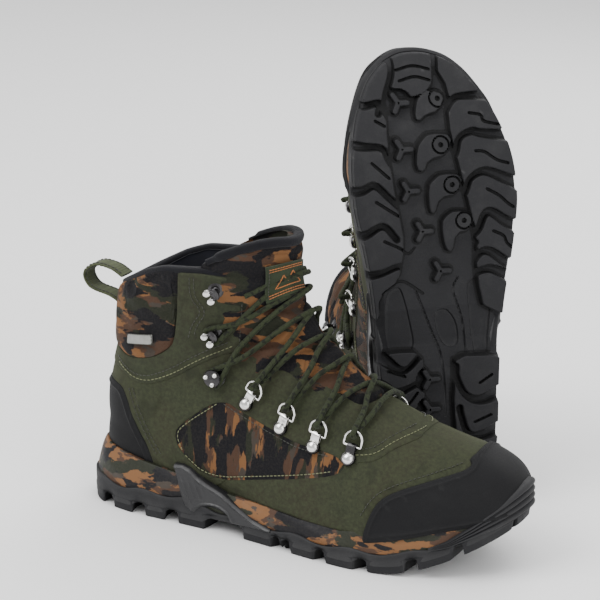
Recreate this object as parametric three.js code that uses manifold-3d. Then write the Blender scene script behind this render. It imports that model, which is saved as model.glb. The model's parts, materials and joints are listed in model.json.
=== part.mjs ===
// A pair of insulated lace-up hunting boots, in millimetres, +Z up.
// The origin is the middle of the floor that the pair covers.
// The right boot stands with its toe along +X and the inner side of the foot towards +Y.
// Each boot is first built in its own frame, from the back of its heel on the ground.
// The left boot is its mirror image, stood on its heel behind the right boot's toe with its sole outwards.
import * as THREE from "three";
import { mergeVertices } from "three/addons/utils/BufferGeometryUtils.js";
import Module from "manifold-3d";

const wasm = await Module();
wasm.setup();

// Driving dimensions.
const GAP = 0.35; // clearance between touching pieces
const SOLE_LENGTH = 308;
const SKIN = 2; // suede, camouflage fabric or rubber
const INSULATION = 3.2;
const LINING = 1.2;
const LUG_HEIGHT = 5.5;
const MIDSOLE_INSET = 3;
const BOARD_THICKNESS = 2;
const FOOTBED_THICKNESS = 5;
const FOOTBED_CLEARANCE = 1.5;
const SHANK_WALL = 2.4;
const SHANK_START = 84;
const SHANK_END = 132;
const LACE_RADIUS = 1.8;
const WIRE_RADIUS = 0.8;
const RING_LENGTH = 10;
const RING_WIDTH = 12;
const RING_TILT = 26; // degrees that a ring stands off the eyestay
const CLIP_WIDTH = 6;
const BAR_HEIGHT = 3.2; // of the ring's straight side over the skin
const FOLD_RADIUS = 2.2;
const SEAT = GAP + 0.2; // height of a clip's underside over the smooth skin
const BACKING = 1.6; // thickness of the band that carries a row of hardware
const LOOP_WIDTH = 16;
const LOOP_THICKNESS = 2;
const RING_SIDES = 14; // points round each section of the upper

// Where the left boot stands, the way its sole faces, and how far it leans.
const LEFT_PLACE = { x: 227.6, y: 68 };
const LEFT_SOLE_FACES = -54.9;
const LEFT_LEANS_BACK = 5.8;
const LEFT_LEANS_ASIDE = 5;

// The upper's sections fan from the toe, round the heel, to the collar. Each runs from a point at the
// sole or the back to a point on the instep or shin: [back x, z, front x, z, half width, centre y,
// height of the widest place as a share, roundness above it, roundness below it].
const SECTIONS = [
  [304, 42, 305, 50, 7, -2, 0.5, 2, 2],
  [303, 31, 302, 60, 20, -3, 0.45, 2.2, 2.4],
  [295, 23, 292, 69, 31, -4, 0.4, 2.3, 3],
  [275, 15, 272, 77, 41, -5, 0.36, 2.2, 3.4],
  [250, 11, 249, 82, 49, -6, 0.34, 2.1, 3.4],
  [220, 10, 226, 90, 52, -7, 0.32, 2, 3.4],
  [190, 11, 205, 100, 50, -7, 0.3, 1.9, 3.4],
  [160, 14, 187, 111, 45.5, -6.5, 0.28, 1.85, 3.3],
  [130, 18, 172, 122, 42, -5, 0.26, 1.85, 3],
  [100, 22, 160, 132.5, 40, -3, 0.25, 1.9, 2.8],
  [70, 25, 152, 142, 38.5, -1.5, 0.25, 1.9, 2.6],
  [42, 29, 146, 151, 37, 0, 0.25, 2, 2.4],
  [20, 39, 142, 159, 36, 0, 0.26, 2, 2.2],
  [11, 58, 140, 167, 35.5, 0, 0.29, 2, 2.1],
  [10, 81, 139.5, 174, 35.5, 0, 0.33, 2, 2.1],
  [14, 104, 139.5, 181, 36, 0, 0.38, 2.1, 2.1],
  [16, 125, 140, 187, 37, 0, 0.42, 2.1, 2.1],
  [16, 146, 140, 193, 38, 0, 0.45, 2.1, 2.1],
  [16, 162, 141, 207, 38.5, 0, 0.45, 2.1, 2.1],
];

// The sections that the upper's shells pass through.
const SHELL_STATIONS = [0, 1, 2, 3, 4.5, 6, 7, 8.5, 10, 11, 12, 13, 15, 18];

// The sole's plan: [x, width towards the inner side, width towards the outer side].
const SOLE_PLAN = [
  [0.5, 9, 9],
  [4, 19, 20],
  [15, 31, 33],
  [38, 39, 41.5],
  [60, 40, 43],
  [100, 40, 46],
  [134, 40.5, 50],
  [168, 43, 58],
  [193, 47, 62.5],
  [210, 50, 64.5],
  [235, 49.7, 62.5],
  [252, 47, 58.5],
  [269, 42, 52],
  [286, 33.5, 42],
  [294, 27.5, 36],
  [302, 18, 27],
  [306, 10, 17],
  [SOLE_LENGTH, 3, 8],
];
// Side-view curves as [x, z]: the top of the midsole and the top of the outsole.
const FEATHER_LINE = [
  [0.5, 54],
  [5, 53],
  [38, 46.5],
  [84, 34],
  [108, 28.5],
  [168, 23.6],
  [200, 23],
  [222, 26.5],
  [256, 33.5],
  [284, 40],
  [308, 45],
];
const OUTSOLE_TOP = [
  [0.5, 20],
  [38, 16],
  [84, 18],
  [108, 14],
  [132, 12],
  [200, 12],
  [240, 14],
  [270, 22],
  [294, 33],
  [308, 40],
];
const TOE_SPRING = { start: 225, rise: 34, power: 1.7 };
// The sole unit's stations along the foot.
const SOLE_STATIONS = [
  0.5, 5, 15, 38, 84, 108, 132, 168, 200, 222, 240, 256, 270, 284, 294, 302, 308,
];

// Outlines of the upper's panels in side view, as [x, z], the same on both sides of the boot.
const COLLAR_TOP = [
  [-20, 148],
  [16, 150],
  [30, 158],
  [45, 166],
  [60, 171],
  [88, 173],
  [103, 172],
  [109, 167],
  [112, 158],
  [113, 130],
];
const TONGUE_TOP = [
  [70, 168],
  [85, 177],
  [100, 185],
  [112, 190],
  [125, 194],
  [134, 195],
  [160, 190],
];
const RAND = [
  [335, 5],
  [335, 100],
  [276, 100],
  [276, 76],
  [272, 73.5],
  [277, 70],
  [259, 64],
  [237, 56],
  [226, 49],
  [220, 38],
  [216, 20],
  [216, 5],
];
const HEEL_PATCH = [
  [-20, 86],
  [24, 87],
  [33, 83],
  [41, 63],
  [57, 38],
  [62, 20],
  [-20, 20],
];
const SIDE_PANEL = [
  [103, 90],
  [74, 66],
  [72, 59],
  [77, 50],
  [98, 34],
  [141, 44],
  [173, 52],
  [193, 58],
  [200, 65],
  [189, 70],
  [164, 71],
  [148, 75],
  [122, 83],
];
const CUFF = [
  [-20, 111],
  [22, 110],
  [34, 106],
  [51, 109],
  [62, 115],
  [71, 125],
  [73, 210],
  [-20, 210],
];
const ANKLE_BAND = [
  [-20, 99],
  [24, 98],
  [45, 89],
  [66, 96],
  [88, 111],
  [113, 123],
  [170, 123],
  [170, 210],
  [-20, 210],
];
const VAMP = [
  [98, 5],
  [98, 34],
  [194, 66],
  [209, 68],
  [219, 70],
  [228, 78],
  [246, 84],
  [246, 210],
  [335, 210],
  [335, 5],
];

// The throat, where the tongue shows: its half width over the instep and where it starts and ends.
const THROAT = { halfWidth: 21, centre: -5, end: 204, shaftFront: 113, shaftBase: 123 };
// The wider slot in the lining and the insulation that the tongue fills.
const TONGUE_SLOT = { halfWidth: 32, centre: -5, end: 205, shaftFront: 86, shaftBase: 112 };

// Hardware on each side: [section number, angle round the section from its front point].
const HOOKS = [
  [15.7, 1.16],
  [13.15, 1.03],
  [11.3, 1.11],
];
const CLIPS = [
  [9.63, 1.04],
  [8.19, 1.03],
  [7.03, 1],
  [5.95, 0.92],
];

// A closed body as a manifold-3d solid, turned to face outwards.
function solid(geometry) {
  const bare = new THREE.BufferGeometry();
  bare.setAttribute("position", geometry.getAttribute("position"));
  bare.setIndex(geometry.index);
  const merged = mergeVertices(bare, 1e-3);
  const triVerts = new Uint32Array(merged.index.array);
  const build = () =>
    new wasm.Manifold(
      new wasm.Mesh({ numProp: 3, vertProperties: merged.attributes.position.array, triVerts }),
    );
  const made = build();
  if (made.volume() > 0) return made;
  for (let i = 0; i < triVerts.length; i += 3) triVerts.subarray(i, i + 2).reverse();
  return build();
}

function geometryOf(made) {
  const mesh = made.getMesh();
  const geometry = new THREE.BufferGeometry();
  geometry.setAttribute("position", new THREE.BufferAttribute(mesh.vertProperties, 3));
  geometry.setIndex(new THREE.BufferAttribute(mesh.triVerts, 1));
  geometry.computeVertexNormals();
  return geometry;
}

// A body through rings of equally many points, closed at both ends from the rings' middles.
function loft(rings) {
  const count = rings[0].length;
  const points = rings.flat();
  const index = [];
  for (let i = 0; i + 1 < rings.length; i++)
    for (let j = 0; j < count; j++) {
      const a = i * count + j;
      const b = i * count + ((j + 1) % count);
      index.push(a, b, b + count, a, b + count, a + count);
    }
  const middle = (ring) =>
    ring.reduce((sum, p) => sum.add(p), new THREE.Vector3()).divideScalar(count);
  points.push(middle(rings[0]), middle(rings.at(-1)));
  const last = (rings.length - 1) * count;
  for (let j = 0; j < count; j++) {
    const next = (j + 1) % count;
    index.push(points.length - 2, next, j, points.length - 1, last + j, last + next);
  }
  const geometry = new THREE.BufferGeometry().setFromPoints(points);
  geometry.setIndex(index);
  return solid(geometry);
}

// A value read off a table of [x, value, ...] rows.
function read(table, x, column = 1) {
  const after = Math.max(
    1,
    table.findIndex((row, i) => row[0] >= x || i === table.length - 1),
  );
  const [low, high] = [table[after - 1], table[after]];
  const share = THREE.MathUtils.clamp((x - low[0]) / (high[0] - low[0]), 0, 1);
  return low[column] + (high[column] - low[column]) * share;
}

const ground = (x) =>
  TOE_SPRING.rise *
  Math.max(0, (x - TOE_SPRING.start) / (SOLE_LENGTH - TOE_SPRING.start)) ** TOE_SPRING.power;
const feather = (x) => read(FEATHER_LINE, x);
const outsoleTop = (x) => read(OUTSOLE_TOP, x);

// A side-view outline as a solid that reaches from y = from to y = to.
function sideCut(outline, from = -90, to = 90) {
  const shape = new THREE.Shape(outline.map(([x, z]) => new THREE.Vector2(x, z)));
  const geometry = new THREE.ExtrudeGeometry(shape, { depth: to - from, bevelEnabled: false });
  return solid(geometry.rotateX(Math.PI / 2).translate(0, to, 0));
}

// A plan outline as a solid that reaches from z = from to z = to.
function planCut(outline, from, to) {
  const shape = new THREE.Shape(outline.map(([x, y]) => new THREE.Vector2(x, y)));
  const geometry = new THREE.ExtrudeGeometry(shape, { depth: to - from, bevelEnabled: false });
  return solid(geometry.translate(0, 0, from));
}

// The same outline moved outwards by a distance.
function grow(outline, distance) {
  const points = outline.map(([x, z]) => new THREE.Vector2(x, z));
  const outwards = THREE.ShapeUtils.area(points) > 0 ? -1 : 1;
  return points.map((p, i) => {
    const before = p.clone().sub(points.at(i - 1)).normalize();
    const after = points[(i + 1) % points.length].clone().sub(p).normalize();
    const bisector = before.clone().add(after).normalize();
    const reach = distance / Math.max(0.4, bisector.dot(after));
    return [p.x - bisector.y * reach * outwards, p.y + bisector.x * reach * outwards];
  });
}

// A smooth value between the upper's sections.
function sectionAt(station) {
  const i = THREE.MathUtils.clamp(Math.floor(station), 0, SECTIONS.length - 2);
  const t = station - i;
  const [p1, p2] = [SECTIONS[i], SECTIONS[i + 1]];
  const p0 = SECTIONS[i - 1] ?? p1.map((v, k) => 2 * v - p2[k]);
  const p3 = SECTIONS[i + 2] ?? p2.map((v, k) => 2 * v - p1[k]);
  return p1.map(
    (v, k) =>
      v +
      0.5 *
        t *
        (p2[k] -
          p0[k] +
          t * (2 * p0[k] - 5 * v + 4 * p2[k] - p3[k] + t * (3 * v - p0[k] - 3 * p2[k] + p3[k]))),
  );
}

// A point on the outside of the upper; the angle is 0 at the section's front and positive inwards.
function skinPoint(station, angle) {
  const [backX, backZ, frontX, frontZ, width, centre, belly, above, below] = sectionAt(station);
  const turn = Math.abs(angle);
  const power = 2 / (turn < Math.PI / 2 ? above : below);
  const rise = Math.abs(Math.cos(turn)) ** power;
  const share = turn < Math.PI / 2 ? belly + (1 - belly) * rise : belly - belly * rise;
  const y = centre + Math.sign(angle) * width * Math.abs(Math.sin(turn)) ** power;
  return new THREE.Vector3(backX + (frontX - backX) * share, y, backZ + (frontZ - backZ) * share);
}

// Where a piece of hardware sits: x towards the throat, y along the row of hardware, z off the skin.
function skinFrame(station, angle, height = 0) {
  const along = skinPoint(station + 0.05, angle).sub(skinPoint(station - 0.05, angle)).normalize();
  const step = 0.04;
  const across = skinPoint(station, angle + step).sub(skinPoint(station, angle - step)).normalize();
  const out = new THREE.Vector3().crossVectors(across, along).normalize();
  const towards = across.clone().multiplyScalar(-Math.sign(angle));
  const side = new THREE.Vector3().crossVectors(out, towards).normalize();
  const place = skinPoint(station, angle).addScaledVector(out, height);
  return new THREE.Matrix4().makeBasis(towards, side, out).setPosition(place);
}

// The upper's outside moved in or out by a distance, as a filled body.
function foot(offset) {
  const start = Math.max(0, -offset * 0.2);
  const stations = SHELL_STATIONS.filter((station) => station > start + 0.3);
  const rings = [start, ...stations].map((station) =>
    Array.from({ length: RING_SIDES }, (_, j) => {
      const angle = (2 * Math.PI * (j + 0.5)) / RING_SIDES - Math.PI;
      const frame = skinFrame(station, angle);
      const out = new THREE.Vector3().setFromMatrixColumn(frame, 2);
      return new THREE.Vector3().setFromMatrixPosition(frame).addScaledVector(out, offset);
    }),
  );
  return loft(rings);
}

// A slab of the sole between two heights, inside the sole's plan.
function soleSlab(stations, inset, bottom, top, taper = 0) {
  return loft(
    stations.map((x) => {
      const inner = Math.max(2, read(SOLE_PLAN, x, 1) - inset);
      const outer = Math.max(2, read(SOLE_PLAN, x, 2) - inset);
      return [
        new THREE.Vector3(x, -outer, bottom(x)),
        new THREE.Vector3(x, inner, bottom(x)),
        new THREE.Vector3(x, Math.max(1.5, inner - taper), top(x)),
        new THREE.Vector3(x, -Math.max(1.5, outer - taper), top(x)),
      ];
    }),
  );
}

const stationsBetween = (from, to) => [
  from,
  ...SOLE_STATIONS.filter((x) => x > from + 1 && x < to - 1),
  to,
];

// Sole unit.
function makeMidsole() {
  const body = soleSlab(
    stationsBetween(4, 300),
    MIDSOLE_INSET / 2,
    (x) => outsoleTop(x) + GAP,
    feather,
    MIDSOLE_INSET,
  );
  return body.subtract(shankSpace(GAP));
}

// The room the shank takes: a band under the waist with a wing up each side.
function shankSpace(margin) {
  const wings = sideCut(
    grow(
      [
        [SHANK_START - 14, 0],
        [SHANK_END + 26, 0],
        [SHANK_END, 18],
        [SHANK_START + 16, 30],
        [SHANK_START - 6, 42],
        [SHANK_START - 11, 39],
        [SHANK_START + 2, 26],
      ],
      margin,
    ),
  );
  const core = soleSlab(
    stationsBetween(SHANK_START - 30, SHANK_END + 50),
    SHANK_WALL + MIDSOLE_INSET / 2 + margin,
    (x) => outsoleTop(x) + GAP + SHANK_WALL + margin,
    (x) => feather(x) + 20,
    MIDSOLE_INSET,
  );
  return wings.subtract(core);
}

function makeShank() {
  const envelope = soleSlab(
    stationsBetween(SHANK_START - 30, SHANK_END + 50),
    MIDSOLE_INSET / 2 - 1,
    (x) => outsoleTop(x) + GAP,
    (x) => feather(x) - GAP,
    MIDSOLE_INSET,
  );
  return shankSpace(0).intersect(envelope);
}

// One tread lug's outline in plan, from the sole's edge inwards; outer is -1 on the foot's outer side.
function edgeLug(from, to, outer) {
  const edge = outer * 75;
  const depth = outer * 30;
  const reach = outer * 16;
  return [
    [from, edge],
    [to, edge],
    [to + 2, depth],
    [to - 6, reach],
    [from + 3, reach],
    [from - 1, depth],
  ];
}

function makeOutsole() {
  const plate = soleSlab(
    SOLE_STATIONS,
    0,
    (x) => ground(x) + LUG_HEIGHT - 0.5 + 4 * Math.max(0, 1 - Math.abs(x - 108) / 22),
    outsoleTop,
    MIDSOLE_INSET / 2,
  );
  const tread = soleSlab(SOLE_STATIONS, -0.4, ground, (x) => ground(x) + LUG_HEIGHT);
  const outerLugs = [
    [3, 30],
    [38, 52],
    [61, 76],
    [130, 147],
    [151, 171],
    [175, 201],
    [205, 229],
    [234, 257],
    [262, 282],
  ];
  const innerLugs = [
    [3, 30],
    [38, 52],
    [61, 76],
    [128, 150],
    [156, 178],
    [184, 206],
    [212, 232],
    [238, 256],
    [262, 280],
  ];
  let lugs = planCut(
    [
      [288, -40],
      [312, -40],
      [312, 40],
      [288, 40],
    ],
    -5,
    80,
  );
  outerLugs.forEach(([from, to]) => (lugs = lugs.add(planCut(edgeLug(from, to, -1), -5, 80))));
  innerLugs.forEach(([from, to]) => (lugs = lugs.add(planCut(edgeLug(from, to, 1), -5, 80))));
  for (let x = 150; x < 280; x += 30) {
    const stud = new THREE.CylinderGeometry(7, 7, 85, 6).rotateX(Math.PI / 2);
    lugs = lugs.add(solid(stud.translate(x, -4, 37)));
  }
  const bumper = soleSlab(
    [284, 294, 302, SOLE_LENGTH],
    0,
    (x) => outsoleTop(x) - 2,
    (x) => 44 + (x - 284) * 0.75,
    1,
  );
  return plate.add(lugs.intersect(tread)).add(bumper.subtract(foot(GAP)).subtract(makeMidsoleRoom()));
}

// The midsole's own space grown by the clearance, cut out of the toe bumper.
function makeMidsoleRoom() {
  const stations = stationsBetween(240, 300 + GAP);
  return soleSlab(stations, MIDSOLE_INSET / 2 - GAP, outsoleTop, (x) => feather(x) + 30);
}

// Inside: the lasting board and the loose footbed lie on the midsole, within the lining.
function insole(clearance, bottom, top, from, to) {
  const slab = soleSlab(
    stationsBetween(from, to),
    MIDSOLE_INSET,
    (x) => feather(x) + bottom,
    (x) => feather(x) + top,
  );
  return slab.intersect(foot(liningInside - clearance));
}

// Upper.
const aboveSole = [
  [-20, feather(0) + GAP],
  ...FEATHER_LINE.map(([x, z]) => [x, z + GAP]),
  [330, feather(SOLE_LENGTH) + GAP],
];
const underCollar = sideCut([...aboveSole, [330, 130], ...[...COLLAR_TOP].reverse()]);

function throat({ halfWidth, centre, end, shaftFront, shaftBase }, margin) {
  const half = halfWidth + margin;
  const outline = [[shaftFront + 2 - margin, centre - half]];
  for (let i = 0; i <= 6; i++) {
    const turn = Math.PI * (i / 6 - 0.5);
    outline.push([end - 10 + (12 + margin) * Math.cos(turn), centre + half * Math.sin(turn)]);
  }
  outline.push([shaftFront + 2 - margin, centre + half]);
  const shaft = sideCut([
    [shaftFront - margin, 240],
    [shaftFront - margin, shaftBase - margin],
    [shaftFront + 60, shaftBase - 18 - margin],
    [shaftFront + 60, 240],
  ]);
  return planCut(outline, 72, 240).add(shaft);
}

const boardTop = GAP + BOARD_THICKNESS;
const makeBoard = () => insole(GAP, GAP, boardTop, 8, 296);
const makeFootbed = () =>
  insole(FOOTBED_CLEARANCE, boardTop + GAP, boardTop + GAP + FOOTBED_THICKNESS, 8, 284);

const layer = (outer, inner) => foot(outer).subtract(foot(inner));
const skin = layer(0, -SKIN).intersect(underCollar).subtract(throat(THROAT, 0));
const room = -SKIN - GAP;
const insulationInside = room - INSULATION;
const liningInside = insulationInside - GAP - LINING;

function makeInner(outer, inner) {
  return layer(outer, inner).intersect(underCollar).subtract(throat(TONGUE_SLOT, GAP));
}

function makeTongue() {
  const tongueSpace = sideCut([...aboveSole, [330, 190], ...[...TONGUE_TOP].reverse(), [-20, 168]]);
  return layer(room, liningInside - 1).intersect(throat(TONGUE_SLOT, 0)).intersect(tongueSpace);
}

// The panels share one skin, so each is cut from what its neighbours leave.
function cutPanels() {
  let rest = skin;
  const take = (outline, from, to) => rest.intersect(sideCut(outline, from, to));
  const panels = {};
  panels.toe_rand = take(RAND);
  rest = rest.subtract(sideCut(grow(RAND, GAP)));
  panels.heel_patch = take(HEEL_PATCH);
  rest = rest.subtract(sideCut(grow(HEEL_PATCH, GAP)));
  panels.side_panel_outer = take(SIDE_PANEL, -90, 0);
  panels.side_panel_inner = take(SIDE_PANEL, 0, 90);
  rest = rest.subtract(sideCut(grow(SIDE_PANEL, GAP)));
  panels.collar_cuff = take(CUFF);
  rest = rest.subtract(sideCut(grow(CUFF, GAP)));
  panels.ankle_band = take(ANKLE_BAND);
  rest = rest.subtract(sideCut(grow(ANKLE_BAND, GAP)));
  panels.vamp = take(VAMP);
  panels.quarter = rest.subtract(sideCut(grow(VAMP, GAP)));
  return panels;
}

// A strap of webbing along a side-view route.
function strap(route, width, thickness) {
  const curve = new THREE.CatmullRomCurve3(route.map(([x, z]) => new THREE.Vector3(x, 0, z)));
  const steps = 14;
  const rings = Array.from({ length: steps + 1 }, (_, i) => {
    const p = curve.getPointAt(i / steps);
    const t = curve.getTangentAt(i / steps);
    const out = new THREE.Vector3(-t.z, 0, t.x).multiplyScalar(thickness / 2);
    return [
      [-1, -1],
      [1, -1],
      [1, 1],
      [-1, 1],
    ].map(([a, b]) => new THREE.Vector3(0, (a * width) / 2, 0).add(p).addScaledVector(out, b));
  });
  return loft(rings);
}

// Hardware.
const placed = (geometry, matrix) => solid(geometry.applyMatrix4(matrix));

// A band of the skin's outside that carries a row of hooks or clips as one piece.
function backing(outline, from, to) {
  return layer(GAP + BACKING, GAP).intersect(sideCut(outline, from, to));
}

// A strap folded round the ring's straight side and riveted down behind it.
function clipParts([station, angle]) {
  const frame = skinFrame(station, angle, SEAT);
  const fold = new THREE.Shape();
  fold.moveTo(-9, 0);
  fold.lineTo(2, 0);
  fold.absarc(2, BAR_HEIGHT, FOLD_RADIUS, -Math.PI / 2, Math.PI / 2, false);
  fold.lineTo(-4, 2.6);
  fold.lineTo(1, BAR_HEIGHT + WIRE_RADIUS + 0.5);
  fold.absarc(2, BAR_HEIGHT, WIRE_RADIUS + 0.5, Math.PI / 2, -Math.PI / 2, true);
  fold.lineTo(-9, 2);
  const sheet = new THREE.ExtrudeGeometry(fold, {
    depth: CLIP_WIDTH,
    bevelEnabled: false,
    curveSegments: 2,
  });
  sheet.rotateX(Math.PI / 2).translate(0, CLIP_WIDTH / 2, 0);
  const rivet = new THREE.CylinderGeometry(2.4, 3, 3.4, 6).rotateX(Math.PI / 2).translate(-6, 0, 1.8);
  return placed(sheet, frame).add(placed(rivet, frame));
}

const ringFrame = ([station, angle]) =>
  skinFrame(station, angle, SEAT)
    .multiply(new THREE.Matrix4().makeTranslation(2, 0, BAR_HEIGHT))
    .multiply(new THREE.Matrix4().makeRotationY(THREE.MathUtils.degToRad(-RING_TILT)));

// A wire ring: a straight side held in the clip and a round side that carries the lace.
function makeRing() {
  const half = RING_WIDTH / 2;
  const path = [new THREE.Vector3(0, -half, 0), new THREE.Vector3(0, half, 0)];
  for (let i = 0; i <= 5; i++) {
    const turn = Math.PI * (0.5 - i / 5);
    const x = RING_LENGTH - half + half * Math.cos(turn);
    path.push(new THREE.Vector3(x, half * Math.sin(turn), 0));
  }
  const sides = 4;
  const points = [];
  path.forEach((p, i) => {
    const before = path.at(i - 1);
    const after = path[(i + 1) % path.length];
    const along = after.clone().sub(before).normalize();
    const out = new THREE.Vector3(along.y, -along.x, 0);
    for (let k = 0; k < sides; k++) {
      const turn = (2 * Math.PI * k) / sides;
      const point = p.clone().addScaledVector(out, -WIRE_RADIUS * Math.cos(turn));
      points.push(point.setZ(WIRE_RADIUS * Math.sin(turn)));
    }
  });
  const index = [];
  for (let i = 0; i < path.length; i++)
    for (let k = 0; k < sides; k++) {
      const [a, b] = [i * sides + k, i * sides + ((k + 1) % sides)];
      const [c, d] = [a, b].map((v) => (v + sides) % points.length);
      index.push(a, b, d, a, d, c);
    }
  const geometry = new THREE.BufferGeometry().setFromPoints(points);
  geometry.setIndex(index);
  return solid(geometry);
}

const HOOK_POST = 2;
const HOOK_HEIGHT = 2 * LACE_RADIUS + 2;

function hookParts([station, angle]) {
  const frame = skinFrame(station, angle, GAP);
  const post = new THREE.CylinderGeometry(HOOK_POST, HOOK_POST, HOOK_HEIGHT + 2, 6);
  post.rotateX(Math.PI / 2).translate(0, 0, HOOK_HEIGHT / 2 + 1);
  const lip = new THREE.BoxGeometry(11, 9, 1.2).translate(-0.5, 0, HOOK_HEIGHT + BACKING);
  return placed(post, frame).add(placed(lip, frame));
}

function makeRow(places, outline, parts, side) {
  const [from, to] = side < 0 ? [-90, 0] : [0, 90];
  let row = backing(outline, from, to);
  places.forEach(([station, angle]) => (row = row.add(parts([station, angle * side]))));
  return row;
}

const HOOK_STRIP = [
  [93, 96],
  [103, 98],
  [101, 133],
  [102, 167],
  [92, 167],
  [91, 133],
];
const CLIP_STRIP = [
  [119, 98],
  [150, 85],
  [176, 77],
  [203, 75],
  [202, 69],
  [176, 71],
  [148, 79],
  [116, 91],
];

// The lace runs in one piece from one tucked end, down one way and back up the other.
class LaceRoute extends THREE.CatmullRomCurve3 {
  getPointAt(u, target) {
    return this.getPoint(u, target);
  }
  getTangentAt(u, target) {
    return this.getTangent(u, target);
  }
}

function laceRoute() {
  const holes = [...HOOKS.slice(1), ...CLIPS];
  const bottom = holes.length - 1;
  const rest = LACE_RADIUS + 1.4; // the lace's middle over the skin
  const over = rest + 2 * LACE_RADIUS + 0.8; // where one strand crosses another
  const on = (station, angle, height) =>
    new THREE.Vector3(0, 0, 0).applyMatrix4(skinFrame(station, angle || 0.001, height));
  // Half a turn about a point of a frame, in the plane of its x and another direction.
  const halfTurn = (frame, centre, radius, other) =>
    [-90, -45, 0, 45, 90].map((degrees) => {
      const turn = THREE.MathUtils.degToRad(degrees);
      const point = new THREE.Vector3(centre - radius * Math.cos(turn), 0, 0);
      return point.addScaledVector(other, radius * Math.sin(turn)).applyMatrix4(frame);
    });
  // Up through a ring and back over its round side, or behind a hook's post.
  const turnAt = (level, side, upwards) => {
    const [station, angle] = holes[level];
    const hook = level < HOOKS.length - 1;
    const frame = hook
      ? skinFrame(station, angle * side, GAP + BACKING + LACE_RADIUS + 0.8)
      : ringFrame([station, angle * side]);
    const other = hook ? new THREE.Vector3(0, side, 0) : new THREE.Vector3(0, 0, 1);
    const radius = LACE_RADIUS + (hook ? HOOK_POST + 1.2 : WIRE_RADIUS + 1);
    const points = halfTurn(frame, hook ? 0 : RING_LENGTH, radius, other);
    return upwards ? points : points.reverse();
  };
  // The share of a hole's angle at which the lace has left its hook or ring.
  const leaves = (level) => (level < HOOKS.length - 1 ? 0.78 : 0.52);
  // From one side's hole over the tongue to the other side's next hole.
  const strand = (from, to, side, middle) => {
    const [start, end] = [from, to].map((level) => holes[level][1] * side * leaves(level));
    return [
      [0.15, start, rest + 1.4],
      [0.32, start * 0.55, rest + 0.3],
      [0.5, 0, middle],
      [0.68, -end * 0.55, rest + 0.3],
      [0.85, -end, rest + 1.4],
    ].map(([share, angle, height]) =>
      on(THREE.MathUtils.lerp(holes[from][0], holes[to][0], share), angle, height),
    );
  };
  const tuck = (side) => on(holes[0][0] + 1.3, 0.82 * side, rest);
  const topStrand = (side, middle) => [
    tuck(side),
    on(holes[0][0] + 1.1, 0.45 * side, rest),
    on(holes[0][0] + 0.8, 0, middle),
    on(holes[0][0] + 0.4, -0.55 * side, rest),
  ];
  const lastSide = bottom % 2 ? -1 : 1;
  const route = topStrand(1, rest);
  for (let level = 0; level <= bottom; level++) {
    const side = level % 2 ? 1 : -1;
    route.push(...turnAt(level, side, false));
    if (level < bottom) route.push(...strand(level, level + 1, side, rest));
  }
  for (const share of [0.5, 0.25, 0, -0.25, -0.5])
    route.push(on(holes[bottom][0] - 0.1, -holes[bottom][1] * share * lastSide, rest + 1));
  for (let level = bottom; level >= 0; level--) {
    const side = level % 2 ? -1 : 1;
    route.push(...turnAt(level, side, true));
    if (level > 0) route.push(...strand(level, level - 1, side, over));
  }
  route.push(...topStrand(-1, over).reverse());
  return route;
}

function makeLace() {
  const route = laceRoute();
  const curve = new LaceRoute(route, false, "centripetal");
  const section = new THREE.Shape();
  for (let i = 0; i < 5; i++) {
    const turn = (2 * Math.PI * i) / 5;
    const [x, y] = [LACE_RADIUS * Math.cos(turn), LACE_RADIUS * Math.sin(turn)];
    if (i) section.lineTo(x, y);
    else section.moveTo(x, y);
  }
  const steps = route.length - 1;
  return solid(new THREE.ExtrudeGeometry(section, { steps, extrudePath: curve }));
}

// Materials by the finish they share.
const finish = {
  suede: { color: 0x4a4c33, roughness: 0.95, metalness: 0 },
  camouflage: { color: 0x5d4633, roughness: 0.9, metalness: 0 },
  rubber: { color: 0x2b2b2c, roughness: 0.8, metalness: 0 },
  foam: { color: 0x6b4f38, roughness: 0.85, metalness: 0 },
  plastic: { color: 0x26272a, roughness: 0.5, metalness: 0 },
  fabric: { color: 0x1b1d24, roughness: 0.95, metalness: 0 },
  board: { color: 0x8a7a63, roughness: 0.95, metalness: 0 },
  fleece: { color: 0xb9b4a8, roughness: 1, metalness: 0 },
  cord: { color: 0x2d3320, roughness: 0.9, metalness: 0 },
  nickel: { color: 0xc9c9c6, roughness: 0.28, metalness: 1 },
};

function part(name, geometry, kind) {
  const mesh = new THREE.Mesh(geometry, new THREE.MeshStandardMaterial(finish[kind]));
  mesh.name = name;
  return mesh;
}

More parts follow.
